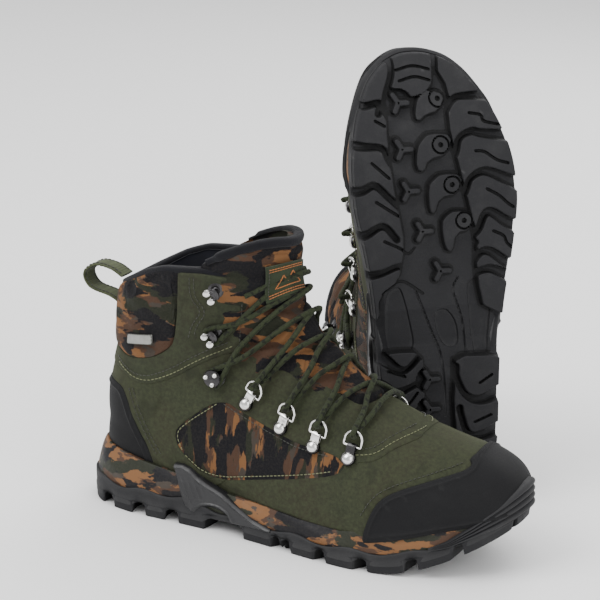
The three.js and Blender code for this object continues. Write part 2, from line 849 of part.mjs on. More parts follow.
const STANDING_LOOP = [
  [12.6, 122],
  [13.2, 134],
  [6, 139],
  [-9, 143],
  [-14, 152],
  [-6, 159],
  [6, 158],
  [15, 153.5],
];
const FLAT_LOOP = [
  [12.6, 122],
  [13.6, 140],
  [13.4, 158],
  [15.6, 171],
  [19, 171],
  [18.4, 155.5],
];
const panels = cutPanels();
const shapes = {
  outsole: [makeOutsole(), "rubber"],
  midsole: [makeMidsole(), "foam"],
  shank: [makeShank(), "plastic"],
  lasting_board: [makeBoard(), "board"],
  footbed: [makeFootbed(), "fabric"],
  lining: [makeInner(insulationInside - GAP, liningInside), "fabric"],
  insulation: [makeInner(room, insulationInside), "fleece"],
  tongue: [makeTongue(), "camouflage"],
  toe_rand: [panels.toe_rand, "rubber"],
  heel_patch: [panels.heel_patch, "rubber"],
  vamp: [panels.vamp, "suede"],
  quarter: [panels.quarter, "suede"],
  ankle_band: [panels.ankle_band, "suede"],
  collar_cuff: [panels.collar_cuff, "camouflage"],
  side_panel_outer: [panels.side_panel_outer, "camouflage"],
  side_panel_inner: [panels.side_panel_inner, "camouflage"],
  hooks_outer: [makeRow(HOOKS, HOOK_STRIP, hookParts, -1), "nickel"],
  hooks_inner: [makeRow(HOOKS, HOOK_STRIP, hookParts, 1), "nickel"],
  clips_outer: [makeRow(CLIPS, CLIP_STRIP, clipParts, -1), "nickel"],
  clips_inner: [makeRow(CLIPS, CLIP_STRIP, clipParts, 1), "nickel"],
  lace: [makeLace(), "cord"],
};
for (const name in shapes) shapes[name][0] = geometryOf(shapes[name][0]);
const ringGeometry = geometryOf(makeRing());
const loops = {
  right: geometryOf(strap(STANDING_LOOP, LOOP_WIDTH, LOOP_THICKNESS)),
  left: geometryOf(strap(FLAT_LOOP, LOOP_WIDTH, LOOP_THICKNESS)),
};

function makeBoot(which) {
  const boot = new THREE.Group();
  for (const [name, [geometry, kind]] of Object.entries(shapes))
    boot.add(part(`${which}_${name}`, geometry, kind));
  boot.add(part(`${which}_pull_loop`, loops[which], "suede"));
  for (const [sideName, side] of [
    ["outer", -1],
    ["inner", 1],
  ])
    CLIPS.forEach(([station, angle], i) => {
      const ring = part(`${which}_ring_${sideName}_${i + 1}`, ringGeometry, "nickel");
      ring.applyMatrix4(ringFrame([station, angle * side]));
      boot.add(ring);
    });
  return boot;
}

const pair = new THREE.Group();
pair.add(makeBoot("right"));

const turned = makeBoot("left");
turned.scale.y = -1;
const upright = new THREE.Group();
upright.rotation.y = -Math.PI / 2 - THREE.MathUtils.degToRad(LEFT_LEANS_BACK);
upright.add(turned);
const leaning = new THREE.Group();
leaning.rotation.x = THREE.MathUtils.degToRad(LEFT_LEANS_ASIDE);
leaning.add(upright);
const left = new THREE.Group();
left.rotation.z = THREE.MathUtils.degToRad(LEFT_SOLE_FACES);
left.add(leaning);
left.updateMatrixWorld(true);
left.position.set(LEFT_PLACE.x, LEFT_PLACE.y, -new THREE.Box3().setFromObject(left, true).min.z);
pair.add(left);

// The pair's origin is the middle of the floor that it covers.
const extent = new THREE.Box3().setFromObject(pair, true);
const middle = extent.getCenter(new THREE.Vector3());
pair.position.set(-middle.x, -middle.y, -extent.min.z);

export default pair;
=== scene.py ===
import json
import math

import bpy
import numpy as np
from mathutils import Matrix, Vector
from mathutils.bvhtree import BVHTree


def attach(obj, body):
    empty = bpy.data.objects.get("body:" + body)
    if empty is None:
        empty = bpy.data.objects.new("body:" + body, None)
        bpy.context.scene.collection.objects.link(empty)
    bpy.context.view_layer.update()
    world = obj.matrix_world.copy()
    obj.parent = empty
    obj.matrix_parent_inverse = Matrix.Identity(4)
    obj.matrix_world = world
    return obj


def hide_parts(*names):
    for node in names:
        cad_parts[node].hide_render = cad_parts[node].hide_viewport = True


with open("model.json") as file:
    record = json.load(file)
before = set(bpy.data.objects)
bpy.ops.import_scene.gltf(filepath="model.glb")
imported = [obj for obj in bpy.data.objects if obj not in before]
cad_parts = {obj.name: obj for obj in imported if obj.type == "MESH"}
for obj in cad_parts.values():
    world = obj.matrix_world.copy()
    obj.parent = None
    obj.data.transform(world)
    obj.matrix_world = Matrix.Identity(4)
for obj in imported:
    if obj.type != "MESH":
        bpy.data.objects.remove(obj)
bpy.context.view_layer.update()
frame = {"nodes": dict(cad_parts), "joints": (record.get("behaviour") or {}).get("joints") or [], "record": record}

MM = 0.001

# ---------------------------------------------------------------- the two boots' frames
REST_POINT = np.array([180, -4, 0])  # where the record's sole_rest mount is, in a boot's frame
PEEL_POINT = np.array([284, -6, 42.7])  # where the footbed's hinge is
SOLE_FACES, LEANS_ASIDE, LEANS_BACK = -54.9, 5, 5.8  # degrees, of the left boot


def turned(axis, degrees):
    return np.array(Matrix.Rotation(math.radians(degrees), 3, axis))


def boot_frames():
    mount = next(m for m in frame["record"]["mounts"] if m["name"] == "sole_rest")
    hinge = next(j for j in frame["joints"] if j["name"] == "left_footbed_peel")
    left = turned("Z", SOLE_FACES) @ turned("X", LEANS_ASIDE) @ turned("Y", -90 - LEANS_BACK)
    left = left @ np.diag([1, -1, 1]) * MM
    right = np.eye(3) * MM
    return {
        "right": (right, np.array(mount["pos_m"]) - right @ REST_POINT),
        "left": (left, np.array(hinge["pos_m"]) - left @ PEEL_POINT),
    }


BOOTS = boot_frames()

# ---------------------------------------------------------------- camera
VIEW_AZIMUTH, VIEW_HEIGHT, VIEW_ROLL = map(math.radians, (22, 18, 2.5))
VIEW_DISTANCE, VIEW_LENS = 1.5, 135.6
VIEW_TARGET = np.array([150, 0, 90])  # the middle of the standing boot, in its own frame
AIM_ASIDE, AIM_UP = 0.00487, 0.0416  # tangents of how far the aim lies off the standing boot's middle


def make_camera():
    axes, origin = BOOTS["right"]
    target = Vector(axes @ VIEW_TARGET + origin)
    flat = math.cos(VIEW_HEIGHT)
    back = Vector((math.sin(VIEW_AZIMUTH) * flat, -math.cos(VIEW_AZIMUTH) * flat, math.sin(VIEW_HEIGHT)))
    right = Vector((math.cos(VIEW_AZIMUTH), math.sin(VIEW_AZIMUTH), 0))
    up = back.cross(right)
    place = target + back * VIEW_DISTANCE
    back = (back + right * AIM_ASIDE - up * AIM_UP).normalized()
    right = up.cross(back).normalized()
    up = back.cross(right)
    c, s = math.cos(VIEW_ROLL), math.sin(VIEW_ROLL)
    right, up = right * c + up * s, up * c - right * s
    data = bpy.data.cameras.new("camera")
    data.lens, data.sensor_width = VIEW_LENS, 36
    data.clip_start, data.clip_end = 0.1, 20
    camera = bpy.data.objects.new("camera", data)
    bpy.context.scene.collection.objects.link(camera)
    turn = Matrix((right, up, back)).transposed()
    camera.matrix_world = Matrix.Translation(place) @ turn.to_4x4()
    bpy.context.scene.camera = camera


make_camera()

# ---------------------------------------------------------------- shader helpers
PLACE = "place"  # each vertex's position in its boot's own frame, in metres


class Paint:
    """A material under construction: its nodes, its coordinates and its main shader."""

    def __init__(self, name, attribute=True):
        self.material = bpy.data.materials.new(name)
        self.material.use_nodes = True
        self.tree = self.material.node_tree
        self.shader = self.tree.nodes["Principled BSDF"]
        if attribute:
            self.at = self.node("ShaderNodeAttribute", attribute_name=PLACE).outputs["Vector"]
        else:
            self.at = self.node("ShaderNodeTexCoord").outputs["Object"]

    def node(self, kind, inputs=None, **settings):
        made = self.tree.nodes.new(kind)
        for key, value in settings.items():
            setattr(made, key, value)
        for key, value in (inputs or {}).items():
            self.put(made.inputs[key], value)
        return made

    def put(self, socket, value):
        if isinstance(value, bpy.types.NodeSocket):
            self.tree.links.new(value, socket)
        else:
            socket.default_value = value

    def set(self, **values):
        for key, value in values.items():
            self.put(self.shader.inputs[key.replace("_", " ")], value)

    def stretch(self, x, y, z, shift=(0, 0, 0)):
        mapping = self.node("ShaderNodeMapping", {"Vector": self.at, "Scale": (x, y, z), "Location": shift})
        return mapping.outputs["Vector"]

    def noise(self, scale, at=None, detail=3.0, rough=0.5, distortion=0.0):
        inputs = {"Vector": at or self.at, "Scale": scale, "Detail": detail, "Roughness": rough}
        return self.node("ShaderNodeTexNoise", {**inputs, "Distortion": distortion}).outputs["Fac"]

    def cells(self, scale):
        return self.node("ShaderNodeTexVoronoi", {"Vector": self.at, "Scale": scale}).outputs["Distance"]

    def wave(self, scale, axis):
        inputs = {"Vector": self.at, "Scale": scale}
        return self.node("ShaderNodeTexWave", inputs, bands_direction=axis).outputs["Fac"]

    def between(self, value, low, high, to_low=0.0, to_high=1.0):
        inputs = {"Value": value, "From Min": low, "From Max": high, "To Min": to_low, "To Max": to_high}
        return self.node("ShaderNodeMapRange", inputs).outputs["Result"]

    def math(self, operation, a, b):
        return self.node("ShaderNodeMath", {0: a, 1: b}, operation=operation).outputs[0]

    def mix(self, factor, a, b):
        node = self.node("ShaderNodeMix", data_type="RGBA")
        for socket, value in ((node.inputs[0], factor), (node.inputs[6], a), (node.inputs[7], b)):
            self.put(socket, value)
        return node.outputs[2]

    def bump(self, height, depth, strength=1.0, before=None):
        """Relief of a depth in metres over any relief made before."""
        inputs = {"Height": height, "Distance": depth, "Strength": strength}
        if before is not None:
            inputs["Normal"] = before
        return self.node("ShaderNodeBump", inputs).outputs["Normal"]


def rgb(red, green, blue):
    """A colour as a screen shows it, from 0 to 255, as the shader's linear one."""
    def linear(value):
        return ((value / 255 + 0.055) / 1.055) ** 2.4 if value > 10 else value / 3295

    return (linear(red), linear(green), linear(blue), 1.0)


# ---------------------------------------------------------------- materials
def suede(name, colour, brown):
    """Short-napped leather: broad brownish patches under a fine, lighter nap."""
    p = Paint(name)
    patches = p.between(p.noise(28, detail=4), 0.38, 0.68)
    nap = p.noise(420, detail=3, rough=0.7)
    fibres = p.noise(2600, detail=2)
    base = p.mix(patches, rgb(*colour), rgb(*brown))
    light = p.mix(p.between(nap, 0.35, 0.7), base, rgb(*[c * 1.4 for c in colour]))
    rubbed = p.between(p.noise(75, detail=2), 0.56, 0.75, 0.0, 0.55)
    p.set(Base_Color=p.mix(rubbed, light, rgb(*[c * 0.72 for c in colour])))
    p.set(Roughness=p.between(nap, 0.3, 0.7, 0.86, 0.98), Specular_IOR_Level=0.25)
    p.set(Sheen_Weight=0.1, Sheen_Roughness=0.5, Sheen_Tint=rgb(150, 155, 110))
    p.set(Normal=p.bump(fibres, 0.00012, 0.8, p.bump(nap, 0.0003, 0.6)))
    return p.material


CAMO = {
    "tan": (112, 77, 47),
    "brown": (66, 46, 34),
    "mauve": (58, 51, 45),
    "green": (31, 34, 24),
    "navy": (11, 11, 16),
}


def camouflage_colour(p, stretch, scale, shift, dark):
    """Blotches of five colours, with ragged edges, drawn out along one direction."""
    at = p.stretch(*stretch, shift)
    ragged = p.noise(scale * 6, at, detail=3, rough=0.65)

    def blotches(seed, low, size):
        mapping = p.node("ShaderNodeMapping", {"Vector": at, "Location": seed})
        soft = p.noise(scale * size, mapping.outputs["Vector"], detail=2.5, rough=0.45, distortion=0.35)
        edge = p.math("ADD", soft, p.between(ragged, 0.3, 0.7, -0.035, 0.035))
        return p.between(edge, low, low + 0.018)

    colour = p.mix(blotches((3, 1, 7), 0.5, 0.9), rgb(*CAMO["brown"]), rgb(*CAMO["tan"]))
    colour = p.mix(blotches((11, 5, 2), 0.6, 1.2), colour, rgb(*CAMO["mauve"]))
    colour = p.mix(blotches((0.4, 9, 4), 0.53, 1.0), colour, rgb(*CAMO["green"]))
    return p.mix(blotches((6, 2, 13), 1 - dark, 0.95), colour, rgb(*CAMO["navy"]))


def camouflage(name, stretch, scale, shift=(0, 0, 0), woven=True, dark=0.49):
    """Printed camouflage on woven cloth or on smooth foam; dark is the share of the darkest colour."""
    p = Paint(name)
    colour = camouflage_colour(p, stretch, scale, shift, dark)
    faded = p.mix(p.between(p.noise(900, detail=2), 0.4, 0.75, 0.0, 0.1), colour, rgb(88, 80, 68))
    if woven:
        weft = p.wave(520, "X")
        warp = p.wave(520, "Z")
        weave = p.math("MAXIMUM", weft, warp)
        p.set(Base_Color=p.mix(p.between(weave, 0.3, 1.0, 0.18, 0.0), faded, rgb(20, 19, 18)))
        p.set(Roughness=p.between(weave, 0, 1, 0.95, 0.82), Sheen_Weight=0.02, Specular_IOR_Level=0.18)
        p.set(Normal=p.bump(weave, 0.00018, 0.9, p.bump(p.noise(90, detail=2), 0.0008, 0.5)))
    else:
        p.set(Base_Color=faded, Roughness=p.between(p.noise(300, detail=3), 0.3, 0.7, 0.5, 0.68))
        p.set(Specular_IOR_Level=0.25)
        p.set(Normal=p.bump(p.noise(1500, detail=3), 0.0001, 0.7))
    return p.material


def rubber(name, colour, dust, grain=1400, rough=(0.62, 0.82)):
    """Moulded rubber with a fine pebbled grain, dusty on its edges and in worn patches."""
    p = Paint(name)
    fine = p.noise(grain, detail=4, rough=0.6)
    scuffs = p.between(p.noise(45, detail=5, rough=0.7), 0.5, 0.78)
    pebble = p.cells(grain * 0.8)
    edges = p.between(p.node("ShaderNodeNewGeometry").outputs["Pointiness"], 0.5, 0.58)
    worn = p.mix(p.math("MULTIPLY", scuffs, 0.35), rgb(*colour), rgb(*dust))
    worn = p.mix(p.math("MULTIPLY", edges, 0.35), worn, rgb(*[c * 1.25 for c in dust]))
    p.set(Base_Color=worn, Roughness=p.between(fine, 0.3, 0.7, *rough), Specular_IOR_Level=0.22)
    p.set(Normal=p.bump(pebble, 0.00008, 0.6, p.bump(fine, 0.0001, 0.5)))
    return p.material


def plastic(name, colour):
    p = Paint(name)
    texture = p.cells(900)
    scratches = p.noise(60, p.stretch(1, 1, 14), detail=4)
    p.set(Base_Color=p.mix(p.between(scratches, 0.55, 0.8, 0, 0.3), rgb(*colour), rgb(70, 70, 72)))
    p.set(Roughness=p.between(scratches, 0.3, 0.8, 0.36, 0.55), Normal=p.bump(texture, 0.00006, 0.5))
    return p.material


def metal(name, colour, tarnish, rough):
    p = Paint(name)
    brushed = p.noise(600, p.stretch(1, 1, 5), detail=4)
    spots = p.between(p.noise(260, detail=4), 0.52, 0.72, 0, 0.6)
    p.set(Base_Color=p.mix(spots, rgb(*colour), rgb(*tarnish)), Metallic=1.0)
    p.set(Roughness=p.between(brushed, 0.3, 0.75, *rough), Normal=p.bump(brushed, 0.00002, 0.5))
    return p.material


def cord(name, colour, fleck):
    """Round braid with dark flecks."""
    p = Paint(name)
    strands = p.noise(900, detail=3)
    flecks = p.between(p.noise(330, detail=1), 0.56, 0.6)
    base = p.mix(p.between(strands, 0.35, 0.7), rgb(*colour), rgb(*[c * 1.3 for c in colour]))
    p.set(Base_Color=p.mix(p.math("MULTIPLY", flecks, 0.8), base, rgb(*fleck)))
    p.set(Roughness=0.9, Sheen_Weight=0.04, Specular_IOR_Level=0.25)
    p.set(Normal=p.bump(p.noise(3200, detail=2), 0.00012, 0.8))
    return p.material


def cloth(name, colour, threads):
    """Plain woven or knitted fabric."""
    p = Paint(name)
    weave = p.math("MAXIMUM", p.wave(threads, "X"), p.wave(threads, "Z"))
    tone = p.between(p.noise(60, detail=3), 0.35, 0.7)
    base = p.mix(tone, rgb(*colour), rgb(*[c * 1.35 for c in colour]))
    p.set(Base_Color=p.mix(p.between(weave, 0.2, 1, 0.4, 0), base, rgb(*[c * 0.45 for c in colour])))
    p.set(Roughness=0.92, Sheen_Weight=0.08, Sheen_Roughness=0.5, Specular_IOR_Level=0.2)
    p.set(Normal=p.bump(weave, 0.0002, 0.9))
    return p.material


def thread(name, colour):
    p = Paint(name)
    twist = p.noise(2200, detail=2)
    p.set(Base_Color=p.mix(p.between(twist, 0.35, 0.65), rgb(*colour), rgb(*[c * 0.62 for c in colour])))
    p.set(Roughness=0.75, Sheen_Weight=0.2, Normal=p.bump(twist, 0.00008, 0.7))
    return p.material


def fibre(name, colour, scale, attribute=False):
    """Pressed board or wadding, for what is inside."""
    p = Paint(name, attribute)
    flock = p.noise(scale, detail=5, rough=0.7)
    p.set(Base_Color=p.mix(p.between(flock, 0.3, 0.7), rgb(*[c * 0.8 for c in colour]), rgb(*colour)))
    p.set(Roughness=0.95, Normal=p.bump(flock, 0.0005, 0.7))
    return p.material


SUEDE = suede("green_suede", (37, 40, 28), (41, 39, 28))
SUEDE_DARK = suede("green_suede_band", (36, 39, 28), (39, 37, 27))
CAMO_WIDE = camouflage("camouflage_fabric", (0.7, 0.8, 1.8), 54, (0.3, 0, 0))
CAMO_TALL = camouflage("camouflage_side_panel", (2.4, 1.2, 0.6), 56)
CAMO_FOAM = camouflage("camouflage_midsole", (0.85, 0.85, 2.0), 50, (0.2, 0, 0.1), woven=False, dark=0.45)
RUBBER = rubber("sole_rubber", (31, 31, 33), (58, 58, 58))
# painted shade: a darker copy of the sole rubber for the tread's grooves and marks
GROOVE_PAINTED_SHADE = rubber("groove_rubber_painted_shade", (16, 16, 17), (30, 30, 30))
RAND_RUBBER = rubber("rand_rubber", (13, 13, 15), (28, 28, 28), 2100, (0.66, 0.84))
PLASTIC = plastic("shank_plastic", (22, 22, 24))
NICKEL = metal("nickel", (226, 225, 222), (92, 90, 86), (0.08, 0.24))
GUNMETAL = metal("gunmetal", (70, 69, 70), (38, 37, 37), (0.2, 0.4))
LACE = cord("lace_cord", (33, 38, 23), (14, 15, 11))
WEBBING = cloth("olive_webbing", (58, 63, 42), 330)
LABEL = cloth("label_fabric", (40, 47, 32), 620)
TAG = cloth("tag_fabric", (128, 128, 124), 700)
LINING = cloth("lining_mesh", (24, 25, 32), 420)
BINDING = cloth("binding_tape", (12, 12, 17), 640)
FOOTBED = cloth("footbed_cover", (40, 41, 44), 380)
THREAD = thread("olive_thread", (112, 116, 78))
DARK_THREAD = thread("dark_thread", (38, 40, 28))
MARK = thread("woven_mark", (178, 104, 44))
FLEECE = fibre("insulation_wadding", (190, 184, 170), 900, attribute=True)

# ---------------------------------------------------------------- dimensions shared with the CAD
# The upper's cross sections from the toe's tip to above the collar. Each row is the x and z of its back or
# lower end, the x and z of its front or upper end, its half width, the y of its middle, the share of its
# height at which it is widest, and how boxy it is above and below that.
SECTIONS = np.array([
    [304, 42, 305, 50, 7, -2, 0.5, 2, 2],
    [303, 31, 302, 60, 20, -3, 0.45, 2.2, 2.4],
    [295, 23, 292, 69, 31, -4, 0.4, 2.3, 3],
    [275, 15, 272, 77, 41, -5, 0.36, 2.2, 3.4],
    [250, 11, 249, 82, 49, -6, 0.34, 2.1, 3.4],
    [220, 10, 226, 90, 52, -7, 0.32, 2, 3.4],
    [190, 11, 205, 100, 50, -7, 0.3, 1.9, 3.4],
    [160, 14, 187, 111, 45.5, -6.5, 0.28, 1.85, 3.3],
    [130, 18, 172, 122, 42, -5, 0.26, 1.85, 3],
    [100, 22, 160, 132.5, 40, -3, 0.25, 1.9, 2.8],
    [70, 25, 152, 142, 38.5, -1.5, 0.25, 1.9, 2.6],
    [42, 29, 146, 151, 37, 0, 0.25, 2, 2.4],
    [20, 39, 142, 159, 36, 0, 0.26, 2, 2.2],
    [11, 58, 140, 167, 35.5, 0, 0.29, 2, 2.1],
    [10, 81, 139.5, 174, 35.5, 0, 0.33, 2, 2.1],
    [14, 104, 139.5, 181, 36, 0, 0.38, 2.1, 2.1],
    [16, 125, 140, 187, 37, 0, 0.42, 2.1, 2.1],
    [16, 146, 140, 193, 38, 0, 0.45, 2.1, 2.1],
    [16, 162, 141, 207, 38.5, 0, 0.45, 2.1, 2.1],
])
# The sole in plan: x, and how far it reaches to the inner and to the outer side.
SOLE_PLAN = np.array([
    [0.5, 9, 9], [4, 19, 20], [15, 31, 33], [38, 39, 41.5], [60, 40, 43], [100, 40, 46],
    [134, 40.5, 50], [168, 43, 58], [193, 47, 62.5], [210, 50, 64.5], [235, 49.7, 62.5],
    [252, 47, 58.5], [269, 42, 52], [286, 33.5, 42], [294, 27.5, 36], [302, 18, 27],
    [306, 10, 17], [308, 3, 8],
])
# Heights along the foot, as (x, z): where the upper meets the sole, and the tops of the midsole and outsole.
FEATHER_LINE = [(0.5, 54), (5, 53), (38, 46.5), (84, 34), (108, 28.5), (168, 23.6), (200, 23),
                (222, 26.5), (256, 33.5), (284, 40), (308, 45)]
MIDSOLE_TOP = [(0.5, 42), (5, 42), (38, 37.5), (60, 34.5), (84, 32), (108, 27), (168, 23), (200, 22.5),
               (222, 26), (256, 33), (284, 39.5), (308, 44.5)]
OUTSOLE_TOP = [(0.5, 20), (38, 16), (84, 18), (108, 14), (132, 12), (200, 12), (240, 14),
               (270, 22), (294, 33), (308, 40)]
# Outlines in the side view, as (x, z).
COLLAR_TOP = [(-20, 148), (16, 150), (30, 158), (45, 166), (60, 171), (88, 173), (103, 172),
              (109, 167), (112, 158), (113, 130)]
TONGUE_TOP = [(60, 164), (70, 168), (85, 177), (100, 185), (112, 190), (125, 194), (134, 195), (160, 190)]
RAND = [(335, 5), (335, 100), (276, 100), (276, 76), (272, 73.5), (277, 70), (259, 64), (237, 56),
        (226, 49), (220, 38), (216, 20), (216, 5)]
HEEL_PATCH = [(-20, 86), (24, 87), (33, 83), (41, 63), (57, 38), (62, 20), (-20, 20)]
SIDE_PANEL = [(103, 90), (74, 66), (72, 59), (77, 50), (98, 34), (141, 44), (173, 52), (193, 58),
              (200, 65), (189, 70), (164, 71), (148, 75), (122, 83)]
CUFF = [(-20, 111), (22, 110), (34, 106), (51, 109), (62, 115), (71, 125), (73, 210), (-20, 210)]
ANKLE_BAND = [(-20, 99), (24, 98), (45, 89), (66, 96), (88, 111), (113, 123), (170, 123), (170, 210),
              (-20, 210)]
VAMP = [(98, 5), (98, 34), (194, 66), (209, 68), (219, 70), (228, 78), (246, 84), (246, 210), (335, 210),
        (335, 5)]
# The throat between the facings and the wider slot under them: half width, middle y, and front end x.
THROAT_HALF, THROAT_CENTRE, THROAT_END = 21, -5, 204
SLOT_HALF, SLOT_END = 32, 205
SHAFT_FRONT = [(113, 240), (113, 123), (173, 105), (173, 240)]
SLOT_SHAFT = [(86, 240), (86, 112), (146, 94), (173, 94), (173, 240)]
# The hardware's places on the upper, as (station, angle).
HOOKS = [(15.7, 1.16), (13.15, 1.03), (11.3, 1.11)]
CLIPS = [(9.63, 1.04), (8.19, 1.03), (7.03, 1), (5.95, 0.92)]
# The rings: the seat's height, the bar's height, the tilt in degrees, length, width and wire radius.
SEAT, BAR_HEIGHT, RING_TILT, RING_LENGTH, RING_WIDTH, WIRE = 0.55, 3.2, 26, 10, 12, 0.8
# The CAD's lace radius, the row's backing and its gap to the leather, and a hook's post radius.
LACE_RADIUS, BACKING, GAP, HOOK_POST = 1.8, 1.6, 0.35, 2
LUG_HEIGHT = 5.5
# The pull loops' middle lines, as (x, z): one stands up, the other lies against the leaning boot's collar.
STANDING_LOOP = [(12.6, 122), (13.2, 134), (6, 139), (-9, 143), (-14, 152), (-6, 159), (6, 158), (15, 153.5)]
FLAT_LOOP = [(12.6, 122), (13.6, 140), (13.4, 158), (15.6, 171), (19, 171), (18.4, 155.5)]


def read(table, x):
    table = np.array(table, float)
    return np.interp(x, table[:, 0], table[:, 1])


def ground(x):
    return 34 * np.clip((np.asarray(x, float) - 225) / 83, 0, None) ** 1.7


def feather(x):
    return read(FEATHER_LINE, x)


def outsole_top(x):
    return read(OUTSOLE_TOP, x)


# ---------------------------------------------------------------- shape helpers
def unit(v):
    return v / np.maximum(np.linalg.norm(v, axis=-1, keepdims=True), 1e-9)


def round_off(outline, rounds=2, closed=True):
    """The same line with its corners cut off, again and again."""
    points = np.array(outline, float)
    for _ in range(rounds):
        after = np.roll(points, -1, axis=0) if closed else points[1:]
        before = points if closed else points[:-1]
        cut = np.stack([before * 0.75 + after * 0.25, before * 0.25 + after * 0.75], 1)
        cut = cut.reshape(-1, points.shape[1])
        points = cut if closed else np.vstack([points[:1], cut, points[-1:]])
    return points


def resample(points, pitch=None, count=None):
    points = np.array(points, float)
    along = np.concatenate([[0], np.cumsum(np.linalg.norm(np.diff(points, axis=0), axis=1))])
    count = count or max(2, int(round(along[-1] / pitch)) + 1)
    at = np.linspace(0, along[-1], count)
    return np.stack([np.interp(at, along, column) for column in points.T], 1)


def curve_through(points, pitch):
    """A smooth line through the given points, at an even pitch."""
    p = np.array(points, float)
    p = np.vstack([2 * p[0] - p[1], p, 2 * p[-1] - p[-2]])
    t = np.linspace(0, 1, 12, endpoint=False)[:, None]
    runs = []
    for a, b, c, d in zip(p, p[1:], p[2:], p[3:]):
        runs.append(b + 0.5 * t * (c - a + t * (2 * a - 5 * b + 4 * c - d + t * (3 * b - a - 3 * c + d))))
    return resample(np.vstack(runs + [p[-2:-1]]), pitch)


def distance_to(line, points, closed=False):
    """How far each flat point lies from a line."""
    line = np.array(line, float)
    ends = np.roll(line, -1, axis=0) if closed else line[1:]
    starts = line if closed else line[:-1]
    best = np.full(len(points), 1e9)
    for a, b in zip(starts, ends):
        along = b - a
        share = np.clip((points - a) @ along / max(along @ along, 1e-9), 0, 1)
        best = np.minimum(best, np.linalg.norm(points - a - share[:, None] * along, axis=1))
    return best


def inside(outline, points):
    """How far inside an outline each flat point lies; outside it is negative."""
    outline = np.array(outline, float)
    crossed = np.zeros(len(points), bool)
    for a, b in zip(outline, np.roll(outline, -1, axis=0)):
        if a[1] == b[1]:
            continue
        spans = (a[1] > points[:, 1]) != (b[1] > points[:, 1])
        crossed ^= spans & (points[:, 0] < (b[0] - a[0]) * (points[:, 1] - a[1]) / (b[1] - a[1]) + a[0])
    distance = distance_to(outline, points, closed=True)
    return np.where(crossed, distance, -distance)


def grid_faces(rows, columns, closed=False):
    """Triangles of a grid of points; closed joins the last column to the first."""
    i, j = np.meshgrid(np.arange(rows - 1), np.arange(columns if closed else columns - 1), indexing="ij")
    a, b = i * columns + j, i * columns + (j + 1) % columns
    c, d = a + columns, b + columns
    return np.concatenate([np.stack([a, b, d], -1), np.stack([a, d, c], -1)], -1).reshape(-1, 3)


def split(data, faces, column, level):
    """Cuts the triangles that a level of one column of the data crosses, along that level."""
    value = data[:, column] - level
    side = np.where(np.abs(value) < 1e-3, 0, np.sign(value))
    corners = side[faces]
    mixed = (corners.min(1) < 0) & (corners.max(1) > 0)
    made, extra, out = {}, [], []

    def between(a, b):
        key = (a, b) if a < b else (b, a)
        if key not in made:
            made[key] = len(data) + len(extra)
            extra.append(data[a] + (data[b] - data[a]) * (value[a] / (value[a] - value[b])))
        return made[key]

    for a, b, c in faces[mixed].tolist():
        while not (side[a] and side[a] * side[b] <= 0 and side[a] * side[c] <= 0):
            a, b, c = b, c, a
        if side[b] == 0:
            q = between(a, c)
            out += [(a, b, q), (b, c, q)]
        elif side[c] == 0:
            p = between(a, b)
            out += [(a, p, c), (p, b, c)]
        else:
            p, q = between(a, b), between(a, c)
            out += [(a, p, q), (p, b, c), (p, c, q)]
    if not extra:
        return data, faces
    return np.vstack([data, extra]), np.vstack([faces[~mixed], np.array(out, int)])


def tidy(data, faces):
    """Leaves out the points that no face uses."""
    used, index = np.unique(faces, return_inverse=True)
    return data[used], index.reshape(-1, 3)


def keep(data, faces, column, level=0.0):
    data, faces = split(data, faces, column, level)
    faces = faces[(data[faces, column] >= level - 2e-3).all(1)]
    return tidy(data, faces)


def rim_edges(faces):
    """The open edges of a surface, each as its face runs."""
    edges = np.vstack([faces[:, [0, 1]], faces[:, [1, 2]], faces[:, [2, 0]]])
    _, index, counts = np.unique(np.sort(edges, 1), axis=0, return_inverse=True, return_counts=True)
    return edges[counts[index.ravel()] == 1]


def thicken(points, faces, normals, thickness):
    """A surface closed by a copy of itself further in."""
    n = len(points)
    rim = rim_edges(faces)
    walls = np.vstack([
        np.stack([rim[:, 1], rim[:, 0], rim[:, 0] + n], 1),
        np.stack([rim[:, 1], rim[:, 0] + n, rim[:, 1] + n], 1),
    ])
    return np.vstack([points, points - normals * thickness]), np.vstack([faces, faces[:, ::-1] + n, walls])


def join(*parts):
    """Several meshes as one, each a pair of points and faces."""
    points, faces, start = [], [], 0
    for p, f in parts:
        points.append(np.asarray(p, float))
        faces.append(np.asarray(f, int).reshape(-1, 3) + start)
        start += len(p)
    return np.vstack(points), np.vstack(faces)


def rings_loft(rings):
    """A tube through rings of equally many points, closed at its ends."""
    rings = np.array(rings, float)
    rows, columns = rings.shape[:2]
    points = rings.reshape(-1, 3)
    first, last = rows * columns, rows * columns + 1
    points = np.vstack([points, rings[0].mean(0), rings[-1].mean(0)])
    j = np.arange(columns)
    k = (j + 1) % columns
    start = np.stack([np.full(columns, first), k, j], 1)
    end = np.stack([np.full(columns, last), j + first - columns, k + first - columns], 1)
    return face_outwards(points, np.vstack([grid_faces(rows, columns, closed=True), start, end]))


def face_outwards(points, faces):
    a, b, c = points[faces].transpose(1, 0, 2)
    volume = np.einsum("ij,ij->i", a, np.cross(b, c)).sum()
    return points, (faces if volume > 0 else faces[:, ::-1])


